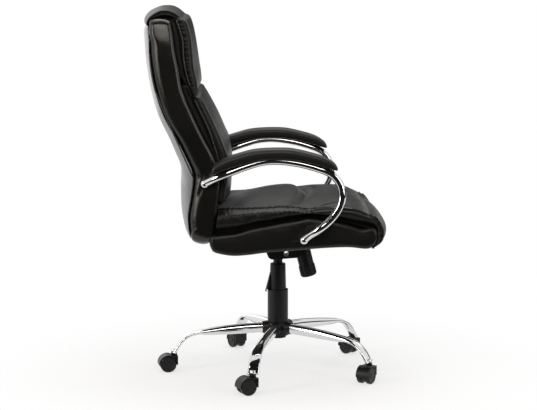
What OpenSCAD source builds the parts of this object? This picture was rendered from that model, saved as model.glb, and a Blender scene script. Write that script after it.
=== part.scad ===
// Reclining office chair with a padded high back, chromed arms and a five-legged base.
// Frame: +X is the way the sitter faces, +Y is the sitter's left, +Z is up.
// The origin is on the floor, on the axis of the column. Sizes are in millimetres.

/* [Base] */
// Distance from the column axis to each castor stem
base_r = 320; // [300:5:340]
// Turn of the star about the column, in degrees
base_turn = 3.25; // [0:0.25:72]
// Height of the lower end of each leg above the floor
leg_end_z = 58; // [56:1:62]
// Height of each leg's axis where it leaves the hub
leg_root_z = 133; // [130:1:138]
// Height of the leg tube at the hub
leg_root_h = 31; // [26:1:33]
// Width of the leg tube at the hub
leg_root_w = 28; // [24:1:30]
// Width of the flattened end of the leg
leg_end_w = 36; // [30:1:38]
// Thickness of the flattened end of the leg
leg_end_t = 12; // [10:1:14]
// Wall of the leg tube
leg_wall = 2; // [1.5:0.1:2.5]
// Radius of the plastic hub cover
hub_cover_r = 34; // [33:1:36]
// Underside of the hub
hub_z = 110; // [106:1:112]
// Height of the hub cover
hub_h = 41; // [40:1:46]

/* [Castors] */
// Diameter of each castor wheel
wheel_d = 50; // [48:1:52]
// Width of each castor wheel
wheel_w = 15; // [13:0.5:16]
// Space between the two wheels of a castor
wheel_gap = 13; // [12:0.5:14]
// Distance from the castor stem to its axle
castor_trail = 20; // [18:0.5:22]
// Diameter of the castor stem
stem_d = 11; // [9:0.5:11.5]
// Diameter of the castor axle
castor_axle_d = 6; // [5:0.5:7]
// Thickness of the castor hood
hood_t = 2.5; // [2:0.25:3]

/* [Column] */
// Outer diameter of the column tube
column_d = 50; // [47:1:51]
// Wall of the column tube
column_wall = 2; // [1.5:0.1:2.5]
// Top of the column tube
column_top_z = 246; // [242:1:250]
// Outer diameter of the lower cover
lower_cover_d = 63; // [60:1:66]
// Outer diameter of the upper cover at its top
upper_cover_d = 47; // [46:0.5:48]
// Wall of the column covers
cover_wall = 1.4; // [1.2:0.1:1.6]
// Diameter of the gas cylinder
cylinder_d = 28; // [26:0.5:29]
// Wall of the gas cylinder
cylinder_wall = 1.5; // [1.2:0.1:2]
// Diameter of the piston rod
rod_d = 10; // [8:0.5:11]
// Travel of the seat height
lift_travel = 80; // [60:5:80]

/* [Mechanism] */
// Distance of the tilt pivot in front of the column axis
pivot_x = 25; // [24:0.5:26]
// Height of the tilt pivot
pivot_z = 366; // [362:1:372]
// Upward slope of the seat towards its front, in degrees
seat_slope = 3.9; // [3:0.1:5]
// Half width of the mechanism over its side plates
mech_half_w = 30; // [29:0.5:33]
// Thickness of the steel plates
plate_t = 3; // [2.5:0.1:3.5]
// Outer diameter of the hollow pivot tube
pivot_d = 20; // [18:0.5:20]
// Bore of the hollow pivot tube
pivot_bore_d = 16; // [14:0.5:17]
// Tilt of the tension knob from the vertical, in degrees
knob_tilt = 13.8; // [12:0.2:15]
// Diameter of the tension knob
knob_d = 50.5; // [48:0.5:52]
// Length of the tension knob
knob_l = 36; // [32:1:38]
// Length of the spring housing
spring_housing_l = 48; // [44:1:50]
// Diameter of the lever rod
lever_d = 9; // [7:0.5:9.5]
// Reach of the lever from the middle of the chair
lever_reach = 292; // [280:1:300]

/* [Seat] */
// Width of the seat over its side bands
seat_w = 500; // [480:5:520]
// Length of the seat
seat_l = 516; // [500:4:530]
// Distance from the tilt pivot up to the underside of the seat board
board_c = 48; // [47:0.5:50]
// Thickness of the seat board
board_t = 12; // [10:1:14]
// Rise of the cushion at the middle of the seat over its side seams
seat_crown = 30; // [20:1:34]

/* [Back] */
// Width of the back over its side bands
back_w = 490; // [475:5:505]
// Height of the back
back_h = 660; // [640:5:670]
// Width of the headrest
headrest_w = 430; // [400:5:440]
// Width of the main back cushion
back_cushion_w = 450; // [430:5:455]
// Thickness of the curved back board
back_board_t = 12; // [10:1:14]

/* [Arms] */
// Diameter of the arm tube
arm_d = 22; // [20:0.5:25]
// Diameter of the round ends of the arm tube
arm_ball_d = 26; // [25:0.25:28]
// How far the arm tube stands out from the side of the seat
arm_stand_out = 41; // [38:1:46]
// Width of the arm pad
arm_pad_w = 52; // [46:1:56]
// Diameter of the frame bolts
bolt_d = 8; // [6:0.5:8]

/* [Hidden] */
LEGS = [1:5];

// Clearances: a running fit, a face that is near another, and a soft piece near its carrier
run = 0.05;
gap = 0.3;
soft_gap = 0.4;
cushion_gap = 0.8;
// Segments of round parts, and of the parts that are cut by facets
fine = 64;
coarse = 32;

// Castors
wheel_r = wheel_d / 2;
wheel_inner_y = wheel_gap / 2 + gap;
wheel_outer_y = wheel_inner_y + wheel_w;
hood_clear = 1.2;
hood_r = wheel_r + hood_clear + hood_t;
stem_boss_r = stem_d / 2 + 4;
stem_boss_top = leg_end_z - 1;
stem_bottom_z = wheel_r + 7;
leg_sleeve_h = 12;
stem_top_z = leg_end_z + leg_sleeve_h - 1;
web_w = wheel_gap - 1;
castor_axle_l = wheel_gap + 1.5 * wheel_w;
// Direction in which each castor trails at rest, in degrees from +X
castor_turns = [190, 204, 239, 132, 120];

// Hub and column
hub_tube_wall = 4;
hub_tube_r = column_d / 2 + hub_tube_wall;
hub_top_z = hub_z + hub_h;
hub_lug_r = leg_root_h / 2 + 4.5;
hub_lug_reach = hub_cover_r + 14;
column_bottom_z = hub_z - 8;
column_floor_t = 4;
column_bore_r = column_d / 2 - column_wall;
bearing_h = 6;
bearing_z = column_bottom_z + column_floor_t;
rod_foot_z = bearing_z + bearing_h + gap;
clip_t = 2;
bush_l = 34;
bush_flange_t = 2.5;
bush_top_z = column_top_z + bush_flange_t;
lower_cover_top_z = column_top_z + 6;
lower_cover_flange_t = 3;
upper_cover_bottom_z = bush_top_z + 0.7;
cylinder_visible = 20;
mechanism_floor_c = -15;
neck_h = 8;
upper_cover_top_z = pivot_z + mechanism_floor_c - neck_h - cylinder_visible + 9;
upper_cover_flare = 2;
middle_cover_d = upper_cover_d - 2 * cover_wall - 1.2;
cylinder_bottom_z = rod_foot_z + 13;
cylinder_top_z = pivot_z + 18;
cylinder_cap_t = 4;
cylinder_head_t = 16;
piston_z = cylinder_bottom_z + lift_travel + cylinder_cap_t + 4;
piston_h = 12;
button_d = 6;
button_top_z = cylinder_top_z + 6.5;
button_pocket = 10;

// Wedge at the rear of the upper cover, outside the lower cover
flap_top_z = column_top_z + 56;
flap_bottom_z = column_top_z;
flap_t = 2;
flap_over = 1;
flap_angle = 46;

// Mechanism, in its own slope about the tilt pivot
side_outer = mech_half_w;
side_inner = side_outer - plate_t;
housing_outer = side_inner - 0.5;
housing_inner = housing_outer - plate_t;
bracket_top_c = board_c;
bracket_half_w = 85;
bush_r = cylinder_d / 2 + 5;
knob_top = [78.5, 364];
spring_housing_top = -10;
spring_housing_bottom = spring_housing_top + spring_housing_l;
spring_housing_r = housing_inner - gap;
spring_wire = 4.5;
spring_turns = 6;
tension_bolt_d = 10;
lever_z = cylinder_top_z + 10.5;
lever_start = housing_inner - 5;
sleeve_r = lever_d / 2 + 2.5;
hinge_pin_r = 1;
hinge_pin_out = 1.2;
sleeve_end = side_outer + 18;
tongue_t = 4;
tongue_w = 10;
lever_drop = 28;
lever_x = 0;

// Seat
board_half_w = seat_w / 2 - 28;
board_rear = -195;
board_front = 222;
seat_x = seat_l / 516;
seat_datum = pivot_z + board_c * cos(seat_slope) - pivot_x * sin(seat_slope);
seat_half = seat_w / 2;
seam_half = seat_half - 15;
rail_w = 35;
rail_x = [40, 100];
rail_h = 34;

// Back
back_foot_z = 422;
back_x = -3;
back_scale = back_h / 660;
back_half = back_w / 2;
back_round_top = 60;
back_round_foot = 40;
board_back_half = back_half - 33;
panel_half = back_half - 8;
back_rail = [36, 34, 110];

// Arms
arm_front_ball = [69, 447];
arm_rear_ball = [-218, 612];
ball_stand_out = arm_ball_d / 2 + gap;
arm_plane = max(seat_half, back_half) + arm_stand_out;
bolt_head_r = bolt_d * 0.8;
bolt_head_t = bolt_d * 0.7;
bolt_inner = 180;

// Outlines as [position along the outline, distance]: the seat's lie above the board's underside
seat_bottom_line = [[-206, 8], [-192, -6], [-143, -16], [-94, -14], [-37, -7], [90, 3], [151, 7],
                    [213, 8], [250, 4], [268, 4]];
seat_groove_line = [[-206, 42], [-192, 50], [-114, 63], [-33, 83], [41, 98], [98, 101], [155, 92],
                    [204, 78], [250, 68], [285, 62]];
seat_edge_line = [[-190, 82], [-155, 93], [-115, 97], [-33, 110], [41, 115], [146, 114], [187, 117],
                  [225, 112], [262, 99], [285, 82]];
crown_share_line = [[-206, 0.1], [-142, 0.4], [-106, 0.8], [-68, 0.92], [18, 1.03], [58, 0.88], [84, 0.55],
                    [110, 0.72], [149, 0.82], [204, 0.7], [236, 0.5], [262, 0.3], [285, 0.2]];
seat_front_line = [[0, 96, 268], [0.2, 80, 284], [0.42, 60, 292], [0.62, 38, 295], [0.82, 20, 292],
                   [1, 9, 283]];

// The back's lie along its height above the back's foot, measured forwards
shell_rear_line = [[0, -232], [16, -244], [50, -259], [91, -264], [147, -257], [199, -251],
                   [221, -252], [259, -269], [303, -290], [367, -326], [425, -347], [488, -363],
                   [575, -370], [660, -374]];
shell_front_line = [[0, -214], [20, -206], [72, -189], [128, -181], [199, -174], [262, -192],
                    [325, -224], [365, -243], [425, -270], [468, -285], [513, -292], [575, -304],
                    [625, -310], [660, -317]];
panel_depth_line = [[0, 8], [30, 16], [90, 24], [186, 38], [287, 36], [370, 28], [480, 22],
                    [580, 24], [640, 26], [660, 24]];
cushion_front_line = [[124, -146], [166, -142], [236, -139], [267, -142], [302, -149], [324, -159],
                      [377, -182], [424, -208], [460, -231]];
cushion_seam_line = [[124, -166], [166, -160], [236, -153], [267, -155], [302, -168], [366, -195],
                     [433, -228], [460, -243]];
headrest_front_line = [[440, -230], [464, -230], [495, -232], [521, -236], [560, -242], [602, -248],
                       [638, -256], [662, -266], [678, -280]];
headrest_seam_line = [[440, -232], [457, -239], [490, -244], [522, -251], [573, -255], [618, -260],
                      [655, -272], [680, -288]];

// Heights of the rows that the shell, the board and the rear panel share
back_rows = [72, 118, 160, 199, 230, 262, 300, 345, 395, 425, 455, 494, 530, 570];
board_rows = concat([70], [for (i = [1:len(back_rows) - 2]) back_rows[i]], [572]);

// Smooth value of a table at k: a cubic through its points
function cell(k, t, i = 0) = (i >= len(t) - 2 || k < t[i + 1][0]) ? i : cell(k, t, i + 1);
function slope(t, i) =
    let (a = max(i - 1, 0), b = min(i + 1, len(t) - 1)) (t[b][1] - t[a][1]) / (t[b][0] - t[a][0]);
function curve(k, t) =
    let (i = cell(k, t), h = t[i + 1][0] - t[i][0], u = min(max((k - t[i][0]) / h, 0), 1))
    (1 + 2 * u) * pow(1 - u, 2) * t[i][1] + u * pow(1 - u, 2) * h * slope(t, i)
    + u * u * (3 - 2 * u) * t[i + 1][1] + u * u * (u - 1) * h * slope(t, i + 1);
function mix(a, b, u) = a + (b - a) * u;
function crown(y, half, power = 2.5) = 1 - pow(min(abs(y) / half, 1), power);

// Smooth path through points, with a number of steps between each pair
function route(p, steps) =
    [for (i = [0:len(p) - 2]) for (s = [0:steps - 1])
        let (u = s / steps, a = p[max(i - 1, 0)], b = p[i], c = p[i + 1], d = p[min(i + 2, len(p) - 1)])
        0.5 * (2 * b + (c - a) * u + (2 * a - 5 * b + 4 * c - d) * u * u
               + (3 * b - a - 3 * c + d) * u * u * u),
     p[len(p) - 1]];

// Closed skin over rings of points. Rings run counter-clockwise seen from where the skin is going.
// A ladder cap joins the two halves of a long thin ring; a plain cap is a fan.
module skin(rings, ladder = false) {
    n = len(rings[0]);
    last = (len(rings) - 1) * n;
    sides = [for (j = [0:len(rings) - 2]) for (i = [0:n - 1])
        let (a = j * n + i, b = j * n + (i + 1) % n)
        each [[a, a + n, b + n], [a, b + n, b]]];
    cap = ladder
        ? [for (i = [0:n / 2 - 2]) each [[i, i + 1, n - 1 - i], [i + 1, n - 2 - i, n - 1 - i]]]
        : [for (i = [1:n - 2]) [0, i, i + 1]];
    end_cap = [for (f = cap) [f[2] + last, f[1] + last, f[0] + last]];
    polyhedron(points = [for (r = rings) each r], faces = concat(sides, cap, end_cap), convexity = 8);
}

// Tube of round sections along a path that stays nearly upright across
module sweep(path, r, sides) {
    n = len(path);
    skin([for (i = [0:n - 1])
        let (t = path[min(i + 1, n - 1)] - path[max(i - 1, 0)], d = t / norm(t),
             side = cross(d, [0, 1, 0]), u = side / norm(side), v = cross(d, u))
        [for (k = [0:sides - 1]) path[i] + r * (cos(360 * k / sides) * u + sin(360 * k / sides) * v)]]);
}

module ring(r_out, r_in, z0, z1, $fn = fine) {
    difference() {
        translate([0, 0, z0]) cylinder(r = r_out, h = z1 - z0);
        translate([0, 0, z0 - 1]) cylinder(r = r_in, h = z1 - z0 + 2);
    }
}

module along_y(y0, y1, r, $fn = fine) {
    translate([0, y0, 0]) rotate([-90, 0, 0]) cylinder(r = r, h = y1 - y0);
}

module mirror_pair() {
    children();
    mirror([0, 1, 0]) children();
}

// Places of the repeated and sloping parts
module at_leg(k) rotate([0, 0, 180 + base_turn + (k - 1) * 72]) children();
module at_castor(k)
    at_leg(k) translate([base_r, 0, 0])
        rotate([0, 0, castor_turns[k - 1] - 180 - base_turn - (k - 1) * 72]) children();
module at_pivot() translate([pivot_x, 0, pivot_z]) rotate([0, -seat_slope, 0]) children();
module at_knob() translate([knob_top[0], 0, knob_top[1]]) rotate([0, 180 - knob_tilt, 0]) children();

// Leg: an oval tube that flattens and bends down to the castor
leg_x = [hub_tube_r - 1, 100, 160, 215, 246, 276, 298, 312, 320];
leg_rise = [0, -3, -7, -11, -13, -23, -42, -63, -75];
leg_narrow = [1, 0.98, 0.84, 0.48, 0.06, 0, 0, 0, 0];
leg_widen = [0, 0.06, 0.15, 0.4, 0.65, 0.9, 1, 1, 1];
leg_drop = leg_root_z - leg_end_z;

function leg_path() =
    route([for (i = [0:len(leg_x) - 1])
        [i == 0 ? leg_x[0] : leg_x[i] * base_r / 320, 0, leg_root_z + leg_rise[i] * leg_drop / 75]], 2);
function leg_shape(values, i) =
    mix(values[floor(i / 2)], values[min(ceil(i / 2), len(values) - 1)], 0.5);

module leg_skin(grow, first, last_ring) {
    path = leg_path();
    sides = 14;
    skin([for (i = [first:last_ring])
        let (t = path[min(i + 1, len(path) - 1)] - path[max(i - 1, 0)], d = t / norm(t),
             up = cross(d, [0, 1, 0]),
             h = mix(leg_end_t, leg_root_h, leg_shape(leg_narrow, i)) / 2 + grow,
             w = mix(leg_root_w, leg_end_w, leg_shape(leg_widen, i)) / 2 + grow)
        [for (k = [0:sides - 1])
            let (a = 360 * k / sides, ca = cos(a), sa = sin(a))
            path[i] + w * sign(ca) * pow(abs(ca), 0.8) * [0, 1, 0]
                + h * sign(sa) * pow(abs(sa), 0.8) * up]]);
}

module leg(k) {
    rings = 2 * (len(leg_x) - 1);
    color("silver") at_leg(k) difference() {
        union() {
            leg_skin(0, 0, rings);
            translate([base_r, 0, leg_end_z]) cylinder(r = stem_d / 2 + 3, h = leg_sleeve_h, $fn = coarse);
        }
        difference() {
            translate([hub_tube_r - 6, 0, 0]) leg_skin(-leg_wall, 0, rings - 4);
            translate([base_r, 0, leg_end_z]) cylinder(r = stem_d / 2 + 3, h = 60, $fn = coarse);
        }
        cylinder(r = hub_tube_r + 0.02, h = 200, $fn = fine);
        translate([base_r, 0, leg_end_z - 20]) cylinder(r = stem_d / 2, h = stem_top_z - leg_end_z + 21);
        translate([base_r - 60, -60, leg_end_z - 40]) cube([120, 120, 40]);
    }
}

module hub_tube() {
    color("dimgray") ring(hub_tube_r, column_d / 2, hub_z - 2, hub_top_z - gap);
}

module hub_cover() {
    color("#202020") difference() {
        union() {
            translate([0, 0, hub_z]) cylinder(r = hub_cover_r, h = hub_h, $fn = fine);
            for (k = LEGS) at_leg(k) translate([hub_tube_r, 0, leg_root_z]) rotate([0, 90, 0])
                cylinder(r1 = hub_lug_r + 1, r2 = hub_lug_r - 2, h = hub_lug_reach - hub_tube_r,
                    $fn = coarse);
        }
        translate([0, 0, hub_z - 1]) cylinder(r = hub_tube_r + 0.02, h = hub_h + 2, $fn = fine);
        translate([0, 0, hub_top_z]) cylinder(r = lower_cover_d / 2 + gap, h = 20, $fn = fine);
        for (k = LEGS) at_leg(k) leg_skin(0.2, 0, 4);
    }
}

module castor_stems() {
    color("gray") for (k = LEGS) at_leg(k) translate([base_r, 0, stem_bottom_z])
        cylinder(d = stem_d, h = stem_top_z - stem_bottom_z, $fn = fine);
}

// Castor: the hood and its web turn on the stem, and each wheel turns on the axle
module castor_hood(k) {
    reach = wheel_outer_y - 1;
    color("#181818") at_castor(k) difference() {
        union() {
            translate([castor_trail, 0, wheel_r]) rotate([90, 0, 0]) {
                translate([0, 0, -reach]) linear_extrude(2 * reach) difference() {
                    circle(r = hood_r, $fn = fine);
                    circle(r = wheel_r + hood_clear, $fn = fine);
                    translate([-2 * hood_r, -2 * hood_r]) square([4 * hood_r, 2 * hood_r - 2]);
                }
                translate([0, 0, -web_w / 2]) cylinder(r = wheel_r - 4, h = web_w, $fn = fine);
                translate([0, 0, -web_w / 2]) linear_extrude(web_w) difference() {
                    circle(r = hood_r - 0.5, $fn = fine);
                    translate([-2 * hood_r, -2 * hood_r]) square([4 * hood_r, 2 * hood_r]);
                }
            }
            translate([0, 0, wheel_r - 6]) cylinder(r = web_w / 2, h = 20, $fn = coarse);
            translate([0, 0, wheel_r + 18])
                cylinder(r = stem_boss_r, h = stem_boss_top - wheel_r - 18, $fn = coarse);
            translate([-stem_boss_r, -reach, wheel_r - 2]) cube([2.5, 2 * reach, 26]);
            translate([-stem_boss_r, -reach, wheel_r + 22]) cube([stem_boss_r + 8, 2 * reach, 4]);
        }
        translate([0, 0, stem_bottom_z]) cylinder(r = stem_d / 2 + run, h = 60, $fn = fine);
        translate([castor_trail, 0, wheel_r]) along_y(-40, 40, castor_axle_d / 2);
        for (s = [-1, 1]) translate([castor_trail, s * (web_w / 2 + 40), wheel_r])
            along_y(-40, 40, wheel_r + 0.8);
    }
}

module castor_axle(k) {
    color("silver") at_castor(k) translate([castor_trail, 0, wheel_r])
        along_y(-castor_axle_l / 2, castor_axle_l / 2, castor_axle_d / 2);
}

module castor_wheel(k, side) {
    edge = 3;
    bore_l = (castor_axle_l - wheel_gap) / 2 + gap;
    color("#202020") at_castor(k) translate([castor_trail, 0, wheel_r]) rotate([-90 * side, 0, 0])
        rotate_extrude($fn = fine) polygon([
            [castor_axle_d / 2 + run, wheel_inner_y], [wheel_r - edge, wheel_inner_y],
            [wheel_r, wheel_inner_y + edge], [wheel_r, wheel_outer_y - edge],
            [wheel_r - edge, wheel_outer_y], [wheel_r - 6, wheel_outer_y],
            [wheel_r - 7.5, wheel_outer_y - 1.5], [9, wheel_outer_y - 1.5], [8, wheel_outer_y],
            [0, wheel_outer_y], [0, wheel_inner_y + bore_l],
            [castor_axle_d / 2 + run, wheel_inner_y + bore_l]]);
}

// Column: the tube stands in the hub, and the rod turns on the bearing
module column_tube() {
    color("#303030") difference() {
        translate([0, 0, column_bottom_z])
            cylinder(d = column_d, h = column_top_z - column_bottom_z, $fn = fine);
        translate([0, 0, column_bottom_z + column_floor_t])
            cylinder(r = column_bore_r, h = column_top_z - column_bottom_z, $fn = fine);
        translate([0, 0, column_bottom_z - 1]) cylinder(d = rod_d + 1, h = column_floor_t + 2, $fn = fine);
    }
}

module guide_bush() {
    color("white") difference() {
        union() {
            translate([0, 0, column_top_z - bush_l]) cylinder(r = column_bore_r, h = bush_l, $fn = fine);
            translate([0, 0, column_top_z]) cylinder(d = column_d, h = bush_flange_t, $fn = fine);
        }
        translate([0, 0, column_top_z - bush_l - 1])
            cylinder(r = cylinder_d / 2 + run, h = bush_l + bush_flange_t + 2, $fn = fine);
    }
}

module thrust_bearing() {
    color("gray") ring(rod_d / 2 + 7, rod_d / 2 + run, bearing_z, bearing_z + bearing_h);
}

module lower_cover() {
    color("#282828") difference() {
        translate([0, 0, hub_top_z])
            cylinder(d = lower_cover_d, h = lower_cover_top_z - hub_top_z, $fn = fine);
        translate([0, 0, hub_top_z + lower_cover_flange_t])
            cylinder(r = lower_cover_d / 2 - cover_wall, h = 200, $fn = fine);
        translate([0, 0, hub_top_z - 1]) cylinder(r = column_d / 2 + 0.02, h = 20, $fn = fine);
    }
}

module middle_cover() {
    color("#282828")
        ring(middle_cover_d / 2, middle_cover_d / 2 - cover_wall, bush_top_z,
            upper_cover_top_z - cover_wall - 0.5);
}

module upper_cover() {
    r_top = upper_cover_d / 2;
    r_foot = r_top + upper_cover_flare;
    color("#2c2c2c") union() {
        rotate_extrude($fn = fine) polygon([
            [cylinder_d / 2, upper_cover_top_z - cover_wall], [cylinder_d / 2, upper_cover_top_z],
            [r_top - 0.8, upper_cover_top_z], [r_top, upper_cover_top_z - 1.5],
            [r_foot, upper_cover_bottom_z], [r_foot - cover_wall, upper_cover_bottom_z],
            [r_top - cover_wall, upper_cover_top_z - cover_wall]]);
        rotate([0, 0, 180 - flap_angle / 2]) rotate_extrude(angle = flap_angle, $fn = fine) polygon([
            [r_top - 0.2, flap_top_z], [r_top + 1, flap_top_z + 3],
            [lower_cover_d / 2 + 6 + flap_t, flap_bottom_z], [lower_cover_d / 2 + 6, flap_bottom_z],
            [lower_cover_d / 2 + 6, lower_cover_top_z + flap_over],
            [r_top + 0.4, lower_cover_top_z + flap_over]]);
    }
}

// Gas spring: the rod stays with the column, and the cylinder slides on its piston
module piston_rod() {
    clip_z = column_bottom_z - gap - clip_t;
    color("silver") union() {
        translate([0, 0, clip_z - 2]) cylinder(d = rod_d, h = piston_z - clip_z + 2, $fn = fine);
        translate([0, 0, piston_z])
            cylinder(r = cylinder_d / 2 - cylinder_wall - run, h = piston_h, $fn = fine);
        translate([0, 0, rod_foot_z]) cylinder(r = rod_d / 2 + 3, h = 4, $fn = fine);
        translate([0, 0, clip_z]) cylinder(r = rod_d / 2 + 3.5, h = clip_t, $fn = fine);
    }
}

module gas_cylinder() {
    color("silver") difference() {
        translate([0, 0, cylinder_bottom_z])
            cylinder(d = cylinder_d, h = cylinder_top_z - cylinder_bottom_z, $fn = fine);
        translate([0, 0, cylinder_bottom_z + cylinder_cap_t])
            cylinder(r = cylinder_d / 2 - cylinder_wall,
                     h = cylinder_top_z - cylinder_bottom_z - cylinder_cap_t - cylinder_head_t, $fn = fine);
        translate([0, 0, cylinder_bottom_z - 1])
            cylinder(r = rod_d / 2 + run, h = cylinder_cap_t + 2, $fn = fine);
        translate([0, 0, cylinder_top_z - button_pocket])
            cylinder(r = button_d / 2 + run, h = button_pocket + 1, $fn = fine);
    }
}

module valve_button() {
    color("silver") translate([0, 0, cylinder_top_z - button_pocket + 4])
        cylinder(d = button_d, h = button_top_z - cylinder_top_z + button_pocket - 4, $fn = fine);
}

// Steel channel that holds the cylinder, the pivot tube and the tension spring
module mechanism_housing() {
    ear = [-pivot_x, lever_z - pivot_z];
    color("#1c1c1c") difference() {
        union() {
            at_pivot() {
                for (s = [-1, 1]) translate([0, s * (housing_inner + plate_t / 2) + plate_t / 2, 0])
                    rotate([90, 0, 0]) linear_extrude(plate_t)
                        polygon([[-44, 8], [-40, mechanism_floor_c + 1], [-36, mechanism_floor_c],
                                 [30, mechanism_floor_c], [52, 4], [96, 24],
                                 [96, bracket_top_c - plate_t - gap], [74, bracket_top_c - plate_t - gap],
                                 [34, 30], [12, 20], [-18, 17], [-44, 14]]);
                translate([-40, -housing_inner, mechanism_floor_c]) cube([70, 2 * housing_inner, plate_t]);
            }
            translate([0, housing_inner, 0]) {
                translate([lever_x, 0, lever_z]) along_y(0, plate_t, sleeve_r + 2.3);
                translate([lever_x - sleeve_r, 0, pivot_z]) cube([2 * sleeve_r, plate_t, lever_z - pivot_z]);
            }
            translate([0, 0, pivot_z + mechanism_floor_c - neck_h + 1.5])
                cylinder(r1 = cylinder_d / 2 + 1.5, r2 = bush_r, h = neck_h, $fn = fine);
            translate([0, 0, pivot_z + mechanism_floor_c + 1]) cylinder(r = bush_r, h = 28, $fn = fine);
            at_knob() translate([-24, -housing_inner - 1, spring_housing_top - plate_t])
                cube([46, 2 * housing_inner + 2, plate_t]);
        }
        cylinder(d = cylinder_d, h = 600, $fn = fine);
        translate([lever_x, housing_inner - 10, lever_z]) along_y(0, 20, sleeve_r + gap);
        translate([lever_x, 0, lever_z]) lever_hinge_pin(run);
        at_pivot() along_y(-40, 40, pivot_d / 2);
        at_knob() translate([0, 0, spring_housing_top - 20])
            cylinder(r = tension_bolt_d / 2 + gap, h = 40, $fn = fine);
    }
}

module pivot_tube() {
    color("gray") at_pivot() difference() {
        along_y(-side_outer - 1, side_outer + 1, pivot_d / 2);
        along_y(-side_outer - 2, side_outer + 2, pivot_bore_d / 2);
    }
}

module spring_housing() {
    wall = 1.8;
    color("#141414") at_knob() difference() {
        translate([0, 0, spring_housing_top + 0.03])
            cylinder(r = spring_housing_r, h = spring_housing_l - 0.03, $fn = fine);
        translate([0, 0, spring_housing_top + 3])
            cylinder(r = spring_housing_r - wall, h = spring_housing_l, $fn = fine);
        translate([0, 0, spring_housing_top - 1]) cylinder(r = tension_bolt_d / 2 + gap, h = 10, $fn = fine);
    }
}

module tension_spring() {
    steps = 12;
    r = spring_housing_r - 1.8 - spring_wire / 2 - 1;
    z0 = spring_housing_top + 3 + spring_wire / 2 + 0.1;
    rise = spring_housing_l - 3 - spring_wire - 0.4;
    n = steps * spring_turns;
    color("gray") at_knob() skin([for (i = [0:n])
        let (a = 360 * i / steps, c = [r * cos(a), r * sin(a), z0 + rise * i / n],
             out = [cos(a), sin(a), 0])
        [for (q = [0:5]) c + spring_wire / 2 * (cos(60 * q) * out - sin(60 * q) * [0, 0, 1])]]);
}

module tension_knob() {
    start = spring_housing_bottom + gap;
    ribs = 24;
    color("#303030") at_knob() union() {
        translate([0, 0, spring_housing_top - 16])
            cylinder(d = tension_bolt_d, h = start - spring_housing_top + 20, $fn = fine);
        translate([0, 0, spring_housing_top - 16 - 4]) cylinder(d = tension_bolt_d + 6, h = 4, $fn = fine);
        rotate_extrude($fn = fine) polygon([
            [0, start], [knob_d / 2 - 1, start], [knob_d / 2 - 1, start + knob_l - 6],
            [knob_d / 2 - 3, start + knob_l - 2.5], [knob_d / 2 - 8, start + knob_l - 0.7],
            [0, start + knob_l]]);
        for (i = [0:ribs - 1]) rotate([0, 0, 360 * (i + 0.5) / ribs])
            translate([knob_d / 2 - 1.6, 0, start + 1])
            cylinder(r = 1.6, h = knob_l - 8, $fn = 16);
    }
}

// Lever: the sleeve rocks in the housing and presses the valve; the rod slides in the sleeve
module lever_hinge_pin(grow) {
    out = sleeve_r + hinge_pin_out + 5 * grow;
    translate([-out, housing_inner + plate_t / 2, 0]) rotate([0, 90, 0])
        cylinder(r = hinge_pin_r + grow, h = 2 * out, $fn = fine);
}

module lever_sleeve() {
    color("#383838") translate([lever_x, 0, lever_z]) difference() {
        union() {
            along_y(lever_start - 4, sleeve_end, sleeve_r);
            lever_hinge_pin(0);
            translate([-tongue_w / 2, -4, button_top_z + 0.5 - lever_z])
                cube([tongue_w, lever_start + 1, tongue_t]);
        }
        along_y(lever_start - gap, sleeve_end + 1, lever_d / 2 + run);
    }
}

module lever_rod() {
    straight = sleeve_end + 14;
    points = [[lever_start, 0], [straight, 0], [straight + 40, -lever_drop], [lever_reach - 18, -lever_drop]];
    color("silver") translate([lever_x, 0, lever_z]) union() {
        for (i = [0:2]) let (a = points[i], b = points[i + 1], d = b - a)
            translate([0, a[0], a[1]]) rotate([atan2(d[1], d[0]) - 90, 0, 0])
                cylinder(d = lever_d, h = norm(d), $fn = fine);
        for (i = [1:2]) translate([0, points[i][0], points[i][1]]) sphere(d = lever_d, $fn = fine);
    }
}

module lever_grip() {
    l = 62;
    color("#101010") translate([lever_x, lever_reach - l, lever_z - lever_drop]) difference() {
        hull() {
            along_y(0, 8, lever_d / 2 + 2.5, $fn = coarse);
            translate([-10, 20, -5]) cube([20, 30, 10]);
            translate([-7, l - 3, -4]) cube([14, 3, 8]);
        }
        along_y(-1, l - 18, lever_d / 2 + 0.02);
    }
}

// Bracket under the seat: a top plate with two side plates that hang on the pivot tube
module seat_bracket() {
    under = bracket_top_c - plate_t;
    color("#1c1c1c") at_pivot() difference() {
        union() {
            translate([-95, -bracket_half_w, under]) cube([200, 2 * bracket_half_w, plate_t]);
            for (s = [-1, 1]) translate([0, s * (side_inner + plate_t / 2) + plate_t / 2, 0])
                rotate([90, 0, 0]) linear_extrude(plate_t)
                    polygon([[-60, under + 1], [-60, 6], [-55, -8], [-48, mechanism_floor_c + 1],
                             [-42, mechanism_floor_c], [34, mechanism_floor_c], [48, -4],
                             [80, 28], [88, under + 1]]);
        }
        along_y(-60, 60, pivot_d / 2 + run);
        translate([-36, side_inner - 5, 12]) cube([40, 30, under - 12.5]);
        for (a = bracket_bolts_a, s = [-1, 1]) translate([a, s * bracket_bolts_y, under - 5])
            cylinder(d = bolt_d + 0.1, h = 30, $fn = coarse);
    }
}
bracket_bolts_a = [-75, 90];
bracket_bolts_y = 68;

module frame_bolts() {
    plate_bolt_l = plate_t + board_t;
    color("silver") {
        at_pivot() for (a = bracket_bolts_a, s = [-1, 1])
            translate([a, s * bracket_bolts_y, bracket_top_c - plate_t]) {
                cylinder(d = bolt_d, h = plate_bolt_l, $fn = coarse);
                translate([0, 0, -bolt_head_t]) cylinder(r = bolt_head_r, h = bolt_head_t, $fn = coarse);
            }
        mirror_pair() {
            arm_bolt(arm_front_ball, seat_half);
            arm_bolt(arm_rear_ball, back_half);
        }
    }
}

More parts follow.
